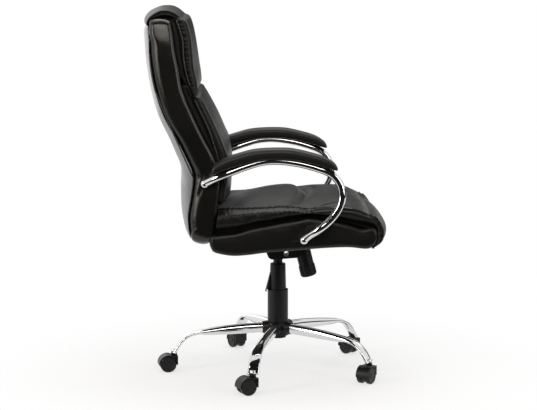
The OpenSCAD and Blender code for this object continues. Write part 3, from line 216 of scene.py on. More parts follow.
# Corners in metres of the dark cloths that only reflections see: on the floor in front of the chair, up the
# front and under the ceiling there, low at the right, and two behind
FLAGS = [((-4.2, -0.6, 0.004), (4.2, -0.6, 0.004), (4.2, -3.2, 0.004), (-4.2, -3.2, 0.004)),
         ((-4.2, -3.2, 0.004), (4.2, -3.2, 0.004), (4.2, -3.5, 3.0), (-4.2, -3.5, 3.0)),
         ((-4.2, -3.5, 3.0), (4.2, -3.5, 3.0), (4.2, -1.2, 3.3), (-4.2, -1.2, 3.3)),
         ((2.6, -0.6, 0.004), (2.6, 3.0, 0.004), (2.7, 3.0, 0.85), (2.7, -0.6, 0.85)),
         ((-0.5, 3.4, 0.85), (1.4, 3.4, 0.85), (1.4, 3.4, 2.2), (-0.5, 3.4, 2.2)),
         ((1.5, 3.3, 0.2), (4.0, 3.0, 0.2), (4.0, 3.0, 2.2), (1.5, 3.3, 2.2))]
FLOOR_RADIUS, FLOOR_FADE, FLOOR_GLOW = 9.0, (0.38, 1.0), 0.66
# Share of the surroundings' white that lights the chair
WORLD_LIGHT = 0.38


class ChairSettings(PropertyGroup):
    """Sizes and colours that a user may change before building"""

    leather_colour: FloatVectorProperty(
        name="Leather", description="Colour of the leather", subtype="COLOR", size=3,
        min=0, max=1, default=(0.0060, 0.0060, 0.0052))
    chrome_colour: FloatVectorProperty(
        name="Chrome", description="Colour of the chromed tubes", subtype="COLOR", size=3,
        min=0, max=1, default=(0.72, 0.72, 0.73))
    plastic_colour: FloatVectorProperty(
        name="Plastic", description="Colour of the black plastic", subtype="COLOR", size=3,
        min=0, max=1, default=(0.006, 0.006, 0.0062))
    grain_size: FloatProperty(
        name="Grain", description="Size of a leather pebble", unit="LENGTH",
        default=0.0013, min=0.0005, max=0.004)
    pucker_depth: FloatProperty(
        name="Puckers", description="Depth of the gathers along the seams", unit="LENGTH",
        default=0.0042, min=0, max=0.005)
    piping_radius: FloatProperty(
        name="Piping", description="Radius of the piped seams", unit="LENGTH",
        default=0.0024, min=0.001, max=0.004)
    tube_sides: IntProperty(
        name="Tube sides", description="Sides of a round tube", default=32, min=12, max=64)
    floor_shade: FloatProperty(
        name="Floor", description="Lightness of the floor", subtype="FACTOR", default=0.93, min=0.5, max=1)


def settings():
    """The sizes and colours that are set in this scene."""
    return bpy.context.scene.chair_settings


# Shapes: tables, blends and closed skins

def curve(k, table):
    """Smooth value of a table at k."""
    i = 0
    while i < len(table) - 2 and k >= table[i + 1][0]:
        i += 1

    def slope(j):
        a, b = max(j - 1, 0), min(j + 1, len(table) - 1)
        return (table[b][1] - table[a][1]) / (table[b][0] - table[a][0])

    h = table[i + 1][0] - table[i][0]
    u = min(max((k - table[i][0]) / h, 0), 1)
    return ((1 + 2 * u) * (1 - u) ** 2 * table[i][1] + u * (1 - u) ** 2 * h * slope(i)
            + u * u * (3 - 2 * u) * table[i + 1][1] + u * u * (u - 1) * h * slope(i + 1))


def mix(a, b, u):
    """From a at 0 to b at 1."""
    return a + (b - a) * u


def crown(y, half, power=2.5):
    """1 in the middle, falling to 0 at half on both sides."""
    return 1 - min(abs(y) / half, 1) ** power


def smooth(u):
    """0 below 0, 1 above 1, and an S between them."""
    u = min(max(u, 0), 1)
    return u * u * (3 - 2 * u)


def hump(u):
    """0 at 0 and at 1, with a round top of 1 between them."""
    return math.sin(math.pi * u)


def bell(d, width):
    """1 at 0, falling away on both sides over a width."""
    return math.exp(-(d / width) ** 2)


def edge_round(u, zone):
    """A quarter round that rises from 0 to 1 over a zone, and stays there."""
    return math.sqrt(max(1 - (1 - u / zone) ** 2, 0)) if u < zone else 1.0


def both_ends(u, low, high):
    """A quarter round at both ends of 0 to 1, each over its own zone."""
    return edge_round(u, low) * edge_round(1 - u, high)


def corner_drop(y, half, reach, r):
    """How far an outline has dropped at y, round a corner that starts a reach short of half."""
    d = max(abs(y) - (half - reach), 0) / reach
    return r * (1 - math.sqrt(max(1 - d * d, 0)))


def even(n, low=0.0, high=1.0):
    """n + 1 evenly spaced values."""
    return [mix(low, high, i / n) for i in range(n + 1)]


def spread(n, low=0.0, high=1.0):
    """n + 1 values that crowd towards both ends."""
    return [mix(low, high, (1 - math.cos(math.pi * i / n)) / 2) for i in range(n + 1)]


def route(points, steps):
    """Smooth path through points, with a number of steps between each pair."""
    out = []
    for i in range(len(points) - 1):
        a, b = points[max(i - 1, 0)], points[i]
        c, d = points[i + 1], points[min(i + 2, len(points) - 1)]
        for s in range(steps):
            u = s / steps
            out.append(0.5 * (2 * b + (c - a) * u + (2 * a - 5 * b + 4 * c - d) * u * u
                              + (3 * b - a - 3 * c + d) * u ** 3))
    return out + [points[-1]]


def side_route(table, steps):
    """Smooth path through a side outline's points of x and z."""
    return route([Vector((x, 0, z)) for x, z in table], steps)


def direction(path, i):
    """Unit direction of a path at its point i."""
    return (path[min(i + 1, len(path) - 1)] - path[max(i - 1, 0)]).normalized()


def ripple(p, size, seed=0.0):
    """Smooth wander from -1 to 1, of a given wavelength in millimetres."""
    return noise.noise(Vector(p) / size + Vector((seed, 3.1 * seed, -seed)))


def pleat(v, width, seed=0):
    """Soft folds of about this width with sharp creases between them, from -0.6 to 0.4."""
    return abs(math.sin(math.pi * v / width + 2.4 * ripple((v, seed, 1), 2.6 * width))) ** 0.8 - 0.6


def gather_depth():
    """Depth of the gathers along the seams, in millimetres."""
    return settings().pucker_depth / MM


def piping_radius():
    """Radius of the piped seams, in millimetres."""
    return settings().piping_radius / MM


def squared(v, power):
    """A sine or cosine pushed out towards 1 or -1, the more the smaller the power."""
    return math.copysign(abs(v) ** power, v)


def round_section(n, side=0.8, top=0.8, low=0.8, start=0.0):
    """n points round a unit circle that is pushed out towards a square by a power for each direction."""
    out = []
    for k in range(n):
        a = 2 * math.pi * (k + start) / n
        c, s = math.cos(a), math.sin(a)
        out.append((squared(c, side), squared(s, top if s > 0 else low)))
    return out


def stations(across, border):
    """Places from one side of a cushion to the other, as pairs.

    On its face a pair is a share of the half width and None. On a border it is the side, 1 or -1, and a
    share of the way out over it.
    """
    out = even(border)[1:]
    face = [(s, None) for s in spread(across, 1, -1)]
    return [(1, t) for t in reversed(out)] + face + [(-1, t) for t in out]


def dimple(x, z, bolt, depth, width, crease, folds, turn, ring, ring_width):
    """How far the leather at x and z sinks round a bolt, and how far the creases round it stand out."""
    dx, dz = x - bolt[0], z - bolt[1]
    away, fan = math.hypot(dx, dz), math.atan2(dz, dx)
    return depth * bell(away, width), crease * math.sin(folds * fan + turn) * bell(away - ring, ring_width)


def new_object(name, bm, body, finish):
    """Turns a bmesh in metres into a smooth piece that rides on a body and has a finish."""
    bmesh.ops.recalc_face_normals(bm, faces=bm.faces)
    mesh = bpy.data.meshes.new(name)
    bm.to_mesh(mesh)
    bm.free()
    mesh.shade_smooth()
    mesh.materials.append(MATERIALS[finish])
    obj = bpy.data.objects.new(name, mesh)
    bpy.context.scene.collection.objects.link(obj)
    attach(obj, body)
    return obj


def add_skin(bm, rings, ladder=False):
    """Adds a skin over rings of points in millimetres: a circle is set to the first and extruded to the rest.

    Its ends are closed by one face, or with ladder by a strip of faces between the ring's two halves. An end
    whose first and middle points meet has no opening to close.
    """
    n = len(rings[0])
    loop = bmesh.ops.create_circle(bm, cap_ends=False, radius=1, segments=n)["verts"]
    for v, p in zip(loop, rings[0]):
        v.co = Vector(p) * MM
    first = loop
    for ring in rings[1:]:
        edges = [bm.edges.get((loop[i], loop[(i + 1) % n])) for i in range(n)]
        made = set(g for g in bmesh.ops.extrude_edge_only(bm, edges=edges)["geom"]
                   if isinstance(g, bmesh.types.BMVert))
        loop = [next(e.other_vert(v) for e in v.link_edges if e.other_vert(v) in made) for v in loop]
        for v, p in zip(loop, ring):
            v.co = Vector(p) * MM
    for end in (first, loop):
        if ladder:
            for i in range(n // 2 - 1):
                bmesh.ops.contextual_create(bm, geom=[end[i], end[i + 1], end[n - 2 - i], end[n - 1 - i]])
        elif (end[0].co - end[n // 2].co).length > MEETING:
            bmesh.ops.contextual_create(
                bm, geom=[bm.edges.get((end[i], end[(i + 1) % n])) for i in range(n)])


def skin(name, rings, body, finish, ladder=False):
    """A closed piece over rings, welded where points meet and subdivided once."""
    bm = bmesh.new()
    add_skin(bm, rings, ladder)
    bmesh.ops.remove_doubles(bm, verts=bm.verts, dist=WELD)
    bmesh.ops.triangulate(bm, faces=[f for f in bm.faces if len(f.verts) > 4])
    obj = new_object(name, bm, body, finish)
    sub = obj.modifiers.new("Finish", "SUBSURF")
    sub.levels = sub.render_levels = 1
    return obj


def padding(name, rings, finish, node, ladder=False):
    """A padded leather piece of the seat or the back, in the place of its node."""
    obj = skin(name, rings, "seat", finish, ladder)
    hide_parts(node)


def tube_rings(path, radius, sides, start=(0, 1, 0)):
    """Rings of round section along a path of millimetre points, carried without twist.

    The radius is a number, or a function of the share of the way along.
    """
    rings, side = [], Vector(start)
    for i, p in enumerate(path):
        t = direction(path, i)
        side = (side - side.dot(t) * t).normalized()
        up = t.cross(side)
        r = radius(i / (len(path) - 1)) if callable(radius) else radius
        rings.append([p + r * (math.cos(a) * side + math.sin(a) * up)
                      for a in (2 * math.pi * k / sides for k in range(sides))])
    return rings


def add_piping(bm, path):
    """A rounded welt along a seam, tapered at both ends."""
    radius, taper, tip = piping_radius(), 0.01, 0.2
    add_skin(bm, tube_rings([Vector(p) for p in path],
                            lambda u: radius * max(both_ends(u, taper, taper), tip), PIPING_SIDES))


def add_cylinder(bm, radius, length):
    """Adds an upright cylinder at the origin, sized in millimetres, and gives its points."""
    return bmesh.ops.create_cone(bm, cap_ends=True, segments=BOLT_AROUND, radius1=radius * MM,
                                 radius2=radius * MM, depth=length * MM)["verts"]


# Finishes

def shader(material, inputs):
    """Sets a material's main shader by the names of its inputs."""
    node = material.node_tree.nodes["Principled BSDF"]
    for name, value in inputs.items():
        node.inputs[name].default_value = value
    return node


def group(name, inputs, outputs):
    """A shader node group with named sockets, made once."""
    tree = bpy.data.node_groups.new(name, "ShaderNodeTree")
    for label, kind, value in inputs:
        socket = tree.interface.new_socket(label, in_out="INPUT", socket_type=kind)
        socket.default_value = value
    for label, kind in outputs:
        tree.interface.new_socket(label, in_out="OUTPUT", socket_type=kind)
    return tree, tree.nodes.new("NodeGroupInput"), tree.nodes.new("NodeGroupOutput")


def add(tree, kind, **values):
    """Adds a node, with values for its settings or its inputs."""
    node = tree.nodes.new(kind)
    for key, value in values.items():
        if hasattr(node, key):
            setattr(node, key, value)
        else:
            node.inputs[key.replace("_", " ")].default_value = value
    return node


def feed(tree, value, socket):
    """Sets a socket to a number, or links it to another node's output."""
    if isinstance(value, (int, float)):
        socket.default_value = value
    else:
        tree.links.new(value, socket)


def math_node(tree, operation, *values):
    """Adds a step that reckons with numbers or outputs, and gives its result."""
    node = tree.nodes.new("ShaderNodeMath")
    node.operation = operation
    for socket, value in zip(node.inputs, values):
        feed(tree, value, socket)
    return node.outputs[0]


def ramp(tree, value, *stops):
    """Grey that follows a value between two stops of position and shade."""
    node = tree.nodes.new("ShaderNodeValToRGB")
    for element, (position, shade) in zip(node.color_ramp.elements, stops):
        element.position, element.color = position, (shade, shade, shade, 1)
    tree.links.new(value, node.inputs["Fac"])
    return node.outputs["Color"]


def texture(tree, kind, coordinates, scale, **values):
    """A pattern on coordinates, with its scale per metre."""
    node = add(tree, kind, **values)
    tree.links.new(coordinates, node.inputs["Vector"])
    feed(tree, scale, node.inputs["Scale"])
    return node


def relief(tree, height, strength, distance, bsdf):
    """Bumps a shader's surface by a height."""
    bump = add(tree, "ShaderNodeBump", Strength=strength, Distance=distance)
    tree.links.new(height, bump.inputs["Height"])
    tree.links.new(bump.outputs["Normal"], bsdf.inputs["Normal"])


def use_group(tree, name, where, values):
    """Places a shader node group on coordinates, with values for its inputs."""
    node = tree.nodes.new("ShaderNodeGroup")
    node.node_tree = bpy.data.node_groups[name]
    tree.links.new(where, node.inputs["Vector"])
    for label, value in values.items():
        node.inputs[label].default_value = value
    return node


def leather_grain():
    """Pebbles, pores and long soft creases: a height, a roughness and a shade."""
    pores_per_metre, creases_per_metre, clouds_per_metre = 2600.0, 34.0, 9.0
    tree, start, end = group(
        "Leather grain",
        [("Vector", "NodeSocketVector", (0, 0, 0)), ("Pebbles per metre", "NodeSocketFloat", 760.0),
         ("Creases", "NodeSocketFloat", 1.0)],
        [("Height", "NodeSocketFloat"), ("Roughness", "NodeSocketFloat"), ("Shade", "NodeSocketFloat")])
    v = start.outputs["Vector"]
    pebble = texture(tree, "ShaderNodeTexVoronoi", v, start.outputs["Pebbles per metre"],
                     feature="SMOOTH_F1", Smoothness=0.35, Randomness=0.9)
    pore = texture(tree, "ShaderNodeTexNoise", v, pores_per_metre, Detail=2.0)
    crease = texture(tree, "ShaderNodeTexNoise", v, creases_per_metre, Detail=5.0, Roughness=0.55,
                     Distortion=1.1)
    cloud = texture(tree, "ShaderNodeTexNoise", v, clouds_per_metre, Detail=3.0)
    # A crease is a valley with straight sides where the noise crosses its middle value
    valley = math_node(tree, "ABSOLUTE", math_node(tree, "SUBTRACT", crease.outputs["Fac"], 0.5))
    valley = math_node(tree, "MULTIPLY", math_node(tree, "MINIMUM", valley, 0.06), 9.0)
    valley = math_node(tree, "MULTIPLY", valley, start.outputs["Creases"])
    height = math_node(tree, "MULTIPLY", pebble.outputs["Distance"], -0.55)
    height = math_node(tree, "MULTIPLY_ADD", pore.outputs["Fac"], 0.16, height)
    tree.links.new(math_node(tree, "ADD", height, valley), end.inputs["Height"])
    rough = math_node(tree, "MULTIPLY_ADD", cloud.outputs["Fac"], 0.16, 0.36)
    tree.links.new(math_node(tree, "MULTIPLY_ADD", pore.outputs["Fac"], 0.06, rough), end.inputs["Roughness"])
    tree.links.new(math_node(tree, "MULTIPLY_ADD", cloud.outputs["Fac"], 0.5, 0.75), end.inputs["Shade"])


def handled():
    """Scuffs, dust and fine relief of a part that is handled: a roughness offset, a mask and a height."""
    tree, start, end = group(
        "Handled surface",
        [("Vector", "NodeSocketVector", (0, 0, 0)), ("Scale", "NodeSocketFloat", 60.0),
         ("Amount", "NodeSocketFloat", 0.1)],
        [("Roughness", "NodeSocketFloat"), ("Dust", "NodeSocketFloat"), ("Height", "NodeSocketFloat")])
    v = start.outputs["Vector"]
    cloud = texture(tree, "ShaderNodeTexNoise", v, start.outputs["Scale"], Detail=6.0, Roughness=0.6)
    grains_per_metre = 1500.0
    grain = texture(tree, "ShaderNodeTexNoise", v, grains_per_metre, Detail=2.0)
    tree.links.new(math_node(tree, "MULTIPLY", cloud.outputs["Fac"], start.outputs["Amount"]),
                   end.inputs["Roughness"])
    dust = ramp(tree, cloud.outputs["Fac"], (0.55, 0.0), (0.8, 1.0))
    tree.links.new(math_node(tree, "MULTIPLY", dust, start.outputs["Amount"]), end.inputs["Dust"])
    tree.links.new(grain.outputs["Fac"], end.inputs["Height"])


def plain_material(name):
    """A new material, its node tree and the coordinates that its patterns read."""
    material = bpy.data.materials.new(name)
    material.use_nodes = True
    coordinates = material.node_tree.nodes.new("ShaderNodeTexCoord")
    return material, material.node_tree, coordinates.outputs["Object"]


def tint(tree, colour, value, socket):
    """Multiplies a colour by a varying value into a socket."""
    node = tree.nodes.new("ShaderNodeMix")
    node.data_type, node.blend_type = "RGBA", "MULTIPLY"
    node.inputs["Factor"].default_value = 1
    node.inputs["A"].default_value = (*colour, 1)
    tree.links.new(value, node.inputs["B"])
    tree.links.new(node.outputs["Result"], socket)


def leather_material(name, gloss, creases=0.35, depth=0.0005, specular=0.22, coat=0.0, fade=1.0):
    """Leather, the smoother the more gloss it has, and paler than the plain colour by fade, which above 1 is
    a painted highlight.
    """
    material, tree, where = plain_material(name)
    s = settings()
    bsdf = shader(material, {"Specular IOR Level": specular, "Coat Weight": coat, "Coat Roughness": 0.22})
    grain = use_group(tree, "Leather grain", where,
                      {"Pebbles per metre": 1 / s.grain_size, "Creases": creases})
    # A fade above 1 lightens the leather's colour as a painted highlight
    tint(tree, [c * fade for c in s.leather_colour], grain.outputs["Shade"], bsdf.inputs["Base Color"])
    tree.links.new(math_node(tree, "SUBTRACT", grain.outputs["Roughness"], gloss), bsdf.inputs["Roughness"])
    relief(tree, grain.outputs["Height"], 0.5, depth, bsdf)
    return material


def hard_material(name, colour, roughness, metallic=0.0, scuff=0.1, scale=60.0, bump=0.0, dust=0.0,
                  specular=0.5):
    """Metal or plastic with scuffs, dust and a fine relief."""
    material, tree, where = plain_material(name)
    bsdf = shader(material, {"Metallic": metallic, "Specular IOR Level": specular})
    worn = use_group(tree, "Handled surface", where, {"Scale": scale, "Amount": scuff})
    tree.links.new(math_node(tree, "ADD", worn.outputs["Roughness"], roughness), bsdf.inputs["Roughness"])
    node = tree.nodes.new("ShaderNodeMix")
    node.data_type = "RGBA"
    node.inputs["A"].default_value = (*colour, 1)
    node.inputs["B"].default_value = (*DUST, 1)
    tree.links.new(math_node(tree, "MULTIPLY", worn.outputs["Dust"], dust), node.inputs["Factor"])
    tree.links.new(node.outputs["Result"], bsdf.inputs["Base Color"])
    if bump:
        relief(tree, worn.outputs["Height"], 0.4, bump, bsdf)
    return material


def lining_material():
    """Black cloth that is stapled over the boards."""
    material, tree, where = plain_material("Black lining cloth")
    bsdf = shader(material, {"Roughness": 0.9, "Specular IOR Level": 0.2})
    threads = 420.0
    warp = texture(tree, "ShaderNodeTexWave", where, threads, bands_direction="X")
    weft = texture(tree, "ShaderNodeTexWave", where, threads, bands_direction="Y")
    weave = math_node(tree, "MULTIPLY", warp.outputs["Fac"], weft.outputs["Fac"])
    tint(tree, (0.012, 0.012, 0.012), ramp(tree, weave, (0.0, 0.5), (1.0, 1.0)), bsdf.inputs["Base Color"])
    relief(tree, weave, 0.5, 0.0002, bsdf)
    return material


def dress(finish, *names):
    """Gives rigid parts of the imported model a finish."""
    for name in names:
        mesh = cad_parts[name].data
        mesh.materials.clear()
        mesh.materials.append(MATERIALS[finish])


class CHAIR_OT_finishes(Operator):
    """Makes every finish, and gives the rigid parts of the model theirs"""

    bl_idname = "chair.finishes"
    bl_label = "Finishes"

    def execute(self, context):
        s = settings()
        leather_grain()
        handled()
        m = MATERIALS
        m["leather"] = leather_material("Black leather", gloss=0.06, specular=0.24)
        m["smooth"] = leather_material("Black leather, stretched", gloss=0.27, creases=0.1, specular=0.46)
        m["band"] = leather_material("Black leather, band", gloss=0.14, creases=0.1, specular=0.26)
        m["panel"] = leather_material("Black leather, rear", gloss=0.22, creases=0.12, specular=0.5)
        # The piping's colour is five times the leather's: a painted highlight along the thin welts, lighter
        # colour in place of the lamps' reflection
        m["piping"] = leather_material("Black leather, piped", gloss=0.1, creases=0.0, depth=0.0002,
                                       specular=0.5, coat=0.5, fade=5.0)
        m["chrome"] = hard_material("Chrome plate", s.chrome_colour, 0.035, 1.0, scuff=0.04, scale=12)
        m["steel"] = hard_material("Bright steel", (0.5, 0.5, 0.51), 0.26, 1.0, scuff=0.15, scale=40)
        m["painted"] = hard_material("Black painted steel", (0.004, 0.004, 0.0042), 0.34, scuff=0.16,
                                     scale=45, bump=0.00012, dust=0.02, specular=0.25)
        m["plastic"] = hard_material("Black moulded plastic", s.plastic_colour, 0.32, scuff=0.14,
                                     scale=50, bump=0.00016, dust=0.02, specular=0.25)
        m["wheel"] = hard_material("Black glossy nylon", (0.005, 0.005, 0.0052), 0.26, scuff=0.2,
                                   scale=70, bump=0.0001, dust=0.04, specular=0.25)
        m["bush"] = hard_material("White nylon", (0.72, 0.71, 0.68), 0.45, scuff=0.1)
        m["pad"] = hard_material("Black soft moulding", (0.0055, 0.0053, 0.0048), 0.36, scuff=0.1,
                                 scale=30, bump=0.00025, dust=0.02, specular=0.36)
        m["lining"] = lining_material()
        dress("painted", "hub_tube", "column_tube", "mechanism_housing", "pivot_tube", "spring_housing",
              "seat_bracket", "gas_cylinder")
        dress("steel", "castor_stems", "thrust_bearing", "piston_rod", "tension_spring", "valve_button",
              "frame_bolts", "lever_rod", *(f"castor_axle_{k}" for k in LEGS))
        dress("plastic", "hub_cover", "lower_cover", "middle_cover", "upper_cover", "tension_knob",
              "lever_sleeve", *(f"castor_hood_{k}" for k in LEGS))
        dress("bush", "guide_bush")
        dress("lining", "seat_board", "back_board")
        dress("wheel", *(f"castor_wheel_{side}_{k}" for side, _ in SIDES for k in LEGS))
        return {"FINISHED"}


# Seat

def cross_seam(y, middle, sweep, power):
    """Where a seam across the seat lies at y."""
    return middle - sweep * min(abs(y) / SEAT_SEAM, 1) ** power


def seat_top(x, s):
    """Height of the seat's panels at x, at a share s of the way from the middle to the side seam."""
    side = curve(x, SEAT_SEAM_Y)
    y = s * side
    c = crown(s, 1, 2.8)
    z = SEAT_Z + mix(curve(x, SEAT_SEAM_Z), curve(x, SEAT_MID_Z), c)
    z += 1.2 * ripple((x, y * 0.6, 0), 60) * crown(s, 1, 6)
    # Both cross seams draw the panels down, and the front roll then falls away
    behind, ahead = x - cross_seam(y, *REAR_SEAM), x - cross_seam(y, *FRONT_SEAM)
    z -= (2 + 15 * c) * bell(behind, 12 if behind < 0 else 24)
    z -= 3 * c * (math.exp(-ahead / 8) if ahead > 0 else bell(ahead, 7)) + 0.16 * c * max(ahead, 0)
    # Gathers run out from the cross seams and the side seam, and each seam is a narrow groove
    seam, edge = min(abs(behind), abs(ahead)), side - abs(y)
    depth = gather_depth()
    z += depth * pleat(y, 15, 7) * bell(seam - 7, 8) * (0.2 + 0.8 * s * s) * 0.8
    z += depth * pleat(x + 0.3 * y, 13, 3) * bell(edge - 7, 7) * 0.8
    return z - 3 * bell(seam, 2.5) - 6 * bell(edge, 3.0)


def seat_groove_point(x, f):
    """Point of the groove under the cushion's edge: below x, or at a share f of the way down the front."""
    if f > 0:
        return mix(*FRONT_GROOVE_X, f * f), SEAT_Z + mix(*FRONT_GROOVE_Z, f)
    x = mix(*GROOVE_ENDS, (x - TOP_ENDS[0]) / (TOP_ENDS[1] - TOP_ENDS[0]))
    return x, SEAT_Z + curve(x, SEAT_GROOVE) + 1


def seat_outline(s):
    """The cushion's outline from rear to front and down, at a share s of the seat's half width.

    Each point is x, z and its share of the way down the front.
    """
    s = min(abs(s), 1)
    y = s * SEAT_SEAM
    c = crown(s, 1)
    front_x = 264 + 4 * c
    out = []
    stops = (TOP_ENDS[0], cross_seam(y, *REAR_SEAM), cross_seam(y, *FRONT_SEAM), front_x)
    for a, b, steps in zip(stops, stops[1:], PANEL_STEPS):
        for u in spread(steps)[:-1]:
            x = mix(a, b, u)
            out.append((x, seat_top(x, s), 0))
    front = [(front_x, seat_top(front_x, s))]
    front += [(x + c * (4 + 21 * smooth(share / 0.8)), SEAT_Z + z + 6 * c * (1 - share))
              for share, z, x in SEAT_FRONT[1:]]
    path = side_route(front, 9)
    for i, p in enumerate(path):
        f = i / (len(path) - 1)
        out.append((p.x + ripple((f * 90, y * 0.5, 2), 40), p.z, max(f, 1e-4)))
    return out


def seat_clear(x, z):
    """x, moved forwards where it would reach into the back's shell."""
    return max(x, curve(max(z - BACK_Z, 0), SHELL_FRONT) + 2.6)


def seat_panel_pair(s, x, z, f):
    """A point on the seat's panels, and the hidden point under it."""
    gx, gz = seat_groove_point(x, f)
    y = s * curve(x, SEAT_SEAM_Y)
    return (seat_clear(x, z), y, z), (seat_clear(gx, gz), y, gz)


def seat_border_pair(side, t, x, z, f):
    """A point at a share t of the way from the seam to the groove, and the hidden point behind it.

    The border is a roll that rises from the seam over its crest, then falls into the groove. Down the front
    it wraps straight round.
    """
    gx, gz = seat_groove_point(x, f)
    seam_y = curve(x, SEAT_SEAM_Y)
    crest = SEAT_Z + curve(x, ROLL_Z) if f == 0 else z + 2 * (1 - f)
    over, down = min(t / CREST, 1), max(t - CREST, 0) / (1 - CREST)
    y = mix(seam_y, SEAT_HALF - 8, over ** 0.9) + 9 * hump(min(down * 1.15, 1)) ** 0.7
    y -= 14 * smooth((down - 0.7) / 0.3)
    pz = mix(z, crest, smooth(over)) + 5 * hump(over) - 2.0 * bell(over, 0.12)
    share = down ** 1.25
    px = mix(x, gx, share)
    pz = mix(pz, gz, share) + 5 * hump(down) * (1 - f)
    wrap = smooth(f * 6)
    px = mix(px, mix(x, gx, t) + 2.5 * hump(t), wrap)
    y = mix(y, mix(seam_y, SEAT_HALF - 10, t) + 4 * hump(t), wrap)
    share = mix(share, t, wrap)
    # Folds down the side, short ones above the groove at the rear, and some at the front corner
    along = px + 0.8 * pz
    fold = pleat(along, 13, 9 * side) * hump(min(down * 1.5, 1)) * (1 - down)
    fold += 0.8 * ripple((along * 0.8, 30, side), 22) * hump(min(down * 1.1, 1))
    low_fold = pleat(along, 11, 4 * side) * bell(down - 0.72, 0.16)
    low_fold *= smooth((x + 205) / 40) * (1 - smooth((x + 90) / 60)) * 3.0
    front_fold = pleat(along, 11, 2 * side) * bell(t - CREST, 0.3) * 2.4 * smooth((x - 150) / 50)
    depth = gather_depth()
    gather = depth * (1.6 * fold + low_fold + front_fold)
    if t < CREST:
        pz += depth * pleat(x, 12, 2 * side) * bell(over - 0.25, 0.35)
    return ((seat_clear(px, pz), side * min(y + gather, SEAT_HALF + 4), pz + 0.8 * gather),
            (seat_clear(mix(x, gx, max(share, 0.92)), gz), side * (y - 1), gz))


class CHAIR_OT_seat_cushion(Operator):
    """Builds the seat cushion: two crowned panels, a front roll and gathered sides"""

    bl_idname = "chair.seat_cushion"
    bl_label = "Seat cushion"

    def execute(self, context):
        rings = []
        for s, t in stations(SEAT_ACROSS, SEAT_BORDER):
            pairs = [seat_panel_pair(s, *point) if t is None else seat_border_pair(s, t, *point)
                     for point in seat_outline(s)]
            top, low = zip(*pairs)
            rings.append(top + low[::-REAR_STEP])
        padding("seat_cushion_leather", rings, "leather", "seat_cushion")
        bm = bmesh.new()
        for side in (-1, 1):
            add_piping(bm, [(x + 0.8, side * (curve(x, SEAT_SEAM_Y) + 2.5), z + 1.6 * (1 - f))
                            for x, z, f in seat_outline(1) if x > SEAT_PIPING_START])
        new_object("seat_cushion_piping", bm, "seat", "piping")
        return {"FINISHED"}


def resample(points, n):
    """n + 1 points evenly along a smooth path through the seat's points of x and z."""
    path = side_route(points, 6)
    run = [0.0]
    for a, b in zip(path, path[1:]):
        run.append(run[-1] + (b - a).length)
    out, j = [], 0
    for i in range(n + 1):
        d = run[-1] * i / n
        while j < len(run) - 2 and run[j + 1] < d:
            j += 1
        p = path[j].lerp(path[j + 1], min((d - run[j]) / max(run[j + 1] - run[j], 1e-6), 1))
        out.append((p.x, SEAT_Z + p.z))
    return out


def band_ring(outline, side, f):
    """One ring of the band's side, drawn in by a share f towards its middle line."""
    reach, drop = BAND_EDGE
    near = min(f * 2, 1)
    ring = []
    for x, z in outline:
        mx = min(max(x, BAND_LINE[0]), BAND_LINE[1])
        mz = SEAT_Z + (curve(mx, SEAT_BOTTOM) + curve(mx, SEAT_GROOVE)) / 2
        inwards = min(f * math.hypot(x - mx, z - mz) / reach, 1)
        px, pz = mix(x, mx, f), mix(z, mz, f)
        sink, crease = dimple(px, pz, **SEAT_DIMPLE)
        y = SEAT_HALF - drop * (1 - edge_round(inwards, 1)) + 3.2 * (1 - (1 - f) ** 2)
        y += (crease + 1.4 * ripple((px * 0.5, pz, side * 5), 30)) * near - sink * f - 2
        ring.append((px, side * min(y, SEAT_HALF + 1.5), pz))
    return ring


class CHAIR_OT_seat_band(Operator):
    """Builds the seat's padded lower band with its rounded sides and seams"""

    bl_idname = "chair.seat_band"
    bl_label = "Seat band"

    def execute(self, context):
        outline = resample(BAND_LOW, BAND_ALONG) + list(reversed(resample(BAND_HIGH, BAND_ALONG)))
        rings = [band_ring(outline, 1, f) for f in BAND_SHARES]
        for y in BAND_ACROSS:
            rings.append([(x, y, z) for x, z in outline])
        rings += [band_ring(outline, -1, f) for f in reversed(BAND_SHARES)]
        padding("seat_band_leather", rings, "band", "seat_base", ladder=True)
        return {"FINISHED"}


# Back

def shell_rear(h):
    """x of the shell's rear at a height above its foot."""
    return curve(h, SHELL_REAR)


def shell_front(h):
    """x of the shell's front at a height above its foot."""
    return curve(h, SHELL_FRONT)


def shell_lean(h):
    """How far the shell's side leans in towards the top: along a bend, then straight."""
    over = max(h - LEAN_START, 0)
    if over < LEAN_BEND:
        return over ** 2 / LEAN_EASE
    return LEAN_BEND ** 2 / LEAN_EASE + (over - LEAN_BEND) * 2 * LEAN_BEND / LEAN_EASE


